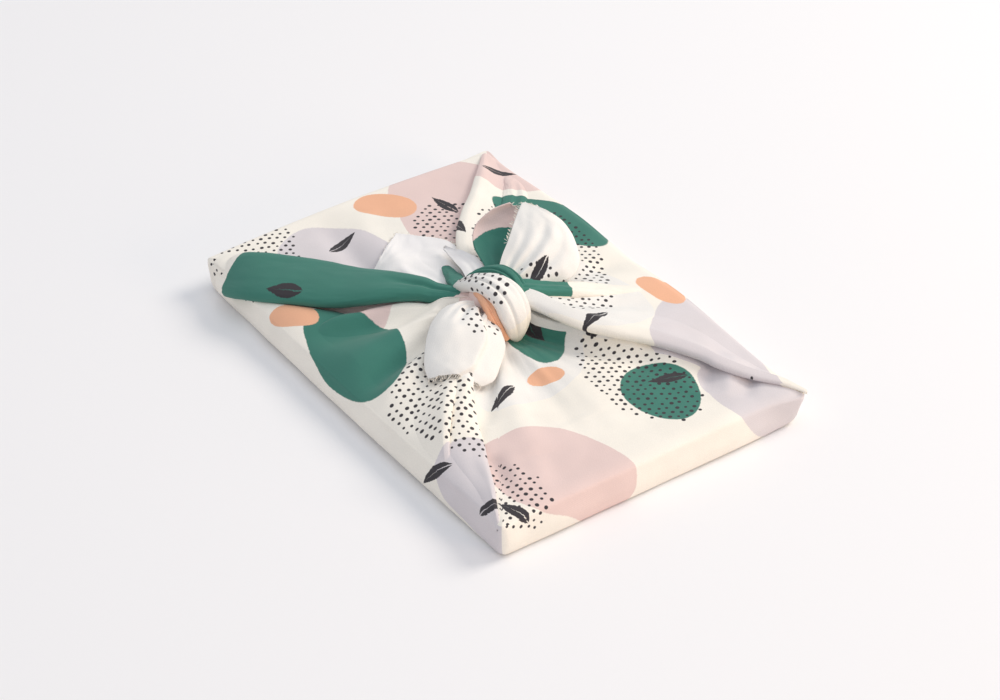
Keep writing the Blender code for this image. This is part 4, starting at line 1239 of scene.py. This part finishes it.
# A thread's radius, its parts and sides, how far it leans, and the least and most of its length.
FRAY_RADIUS, THREAD_PARTS, THREAD_STRAYS, THREAD_SHARES = 0.13, 5, 0.45, (0.4, 1.35)
HEMS = (
    # name, end, edge, from and to along it, pitch, length
    ("front_end_fray", "front_end", "tip", 0.0, 1.0, 0.8, 2.0),
    ("back_lobe_fray", "back_lobe", "left", 0.3, 1.0, 0.75, 1.9),
    ("back_leaf_fray", "back_leaf", "tip", 0.0, 1.0, 0.9, 1.4),
    ("left_end_fray", "left_end", "right", 0.35, 1.0, 1.1, 1.3),
    ("left_end_tip_fray", "left_end", "tip", 0.0, 1.0, 1.1, 1.2),
)


def frayed_hem_nodes():
    """Threads set along an edge, each bent, turned and scaled its own way."""
    tree = bpy.data.node_groups.new("frayed_hem", "GeometryNodeTree")
    tree.interface.new_socket("Edge", in_out="INPUT", socket_type="NodeSocketGeometry")
    for name in ("Pitch", "Thread length", "Thread radius"):
        tree.interface.new_socket(name, in_out="INPUT", socket_type="NodeSocketFloat")
    tree.interface.new_socket("Threads", in_out="OUTPUT", socket_type="NodeSocketGeometry")
    given = add(tree, "NodeGroupInput", {})
    pitch, length, radius = given["Pitch"], given["Thread length"], given["Thread radius"]
    curve = add(tree, "GeometryNodeMeshToCurve", {"Mesh": given["Edge"]})["Curve"]
    spaced = {"Curve": curve, "Length": pitch}
    points = add(tree, "GeometryNodeCurveToPoints", spaced, mode="LENGTH")["Points"]
    bends = {"Resolution": THREAD_PARTS}
    for name, aside, along in THREAD_BENDS:
        place = add(tree, JOIN, {0: aside, 2: along})[0]
        bends[name] = add(tree, VECTOR, {0: place, "Scale": length}, "SCALE")[0]
    segment = add(tree, "GeometryNodeCurvePrimitiveBezierSegment", bends)["Curve"]
    section = {"Resolution": THREAD_PARTS, "Radius": radius}
    section = add(tree, "GeometryNodeCurvePrimitiveCircle", section)["Curve"]
    swept = {"Curve": segment, "Profile Curve": section, "Fill Caps": True}
    thread = add(tree, "GeometryNodeCurveToMesh", swept)["Mesh"]
    outward = {"Name": "outward"}
    outward = add(tree, "GeometryNodeInputNamedAttribute", outward, data_type="FLOAT_VECTOR")[0]
    stray = {"Min": (-THREAD_STRAYS,) * 3, "Max": (THREAD_STRAYS,) * 3, "Seed": 3}
    stray = add(tree, "FunctionNodeRandomValue", stray, data_type="FLOAT_VECTOR")[0]
    aim = add(tree, VECTOR, {0: outward, 1: stray}, "ADD")[0]
    turned = add(tree, "FunctionNodeAlignRotationToVector", {"Vector": aim}, axis="Z")["Rotation"]
    longer = {2: THREAD_SHARES[0], 3: THREAD_SHARES[1], "Seed": 5}
    longer = add(tree, "FunctionNodeRandomValue", longer, data_type="FLOAT")[1]
    size = add(tree, JOIN, {0: 1.0, 1: 1.0, 2: longer})[0]
    placed = {"Points": points, "Instance": thread, "Rotation": turned, "Scale": size}
    threads = add(tree, "GeometryNodeInstanceOnPoints", placed)["Instances"]
    spin = add(tree, "FunctionNodeRandomValue", {2: 0.0, 3: math.tau, "Seed": 7}, data_type="FLOAT")[1]
    spin = add(tree, JOIN, {2: spin})[0]
    threads = add(tree, "GeometryNodeRotateInstances", {"Instances": threads, "Rotation": spin})["Instances"]
    threads = add(tree, "GeometryNodeRealizeInstances", {"Geometry": threads})["Geometry"]
    threads = add(tree, "GeometryNodeSetMaterial", {"Geometry": threads, "Material": THREAD})["Geometry"]
    add(tree, "NodeGroupOutput", {"Threads": threads})
    return tree


# The loose threads are the cloth's own undyed cotton, without its weave.
THREAD, tree, sockets = new_material("loose_cotton_thread", {"Roughness": 0.9})
tone = add(tree, "ShaderNodeTexCoord", {})["Object"]
tone = add(tree, NOISE, {"Vector": tone, "Scale": 400.0})[0]
tone = add(tree, MIX, {0: tone, 6: linear("#e6ddcf"), 7: linear("#f8f5ee")}, data_type="RGBA")[2]
tree.links.new(tone, sockets["Base Color"])
FRAYED = frayed_hem_nodes()
for name, end, side, start, stop, pitch, length in HEMS:
    surface = end_surfaces[end]
    edge, inner = {
        "tip": (surface[-1], surface[-4]),
        "left": (surface[:, 0], surface[:, 3]),
        "right": (surface[:, -1], surface[:, -4]),
    }[side]
    chosen = slice(int(start * len(edge)), int(stop * len(edge)))
    hem = bpy.data.meshes.new(name)
    line = edge[chosen] - (0, 0, CLOTH_THICK / 2)
    hem.from_pydata((line * MM).tolist(), [(k, k + 1) for k in range(len(line) - 1)], [])
    outward_layer = hem.attributes.new("outward", "FLOAT_VECTOR", "POINT")
    outward_layer.data.foreach_set("vector", unit(edge - inner)[chosen].astype(np.float32).ravel())
    piece = new_object(name, hem)
    fray = piece.modifiers.new("fray", "NODES")
    fray.node_group = FRAYED
    given = {"Pitch": pitch, "Thread length": length, "Thread radius": FRAY_RADIUS}
    for item in FRAYED.interface.items_tree:
        if item.name in given:
            fray[item.identifier] = given[item.name] * MM
    graph = bpy.context.evaluated_depsgraph_get()
    made = bpy.data.meshes.new_from_object(piece.evaluated_get(graph))
    piece.modifiers.remove(fray)
    piece.data = made
    made.name = name
    dress(piece)
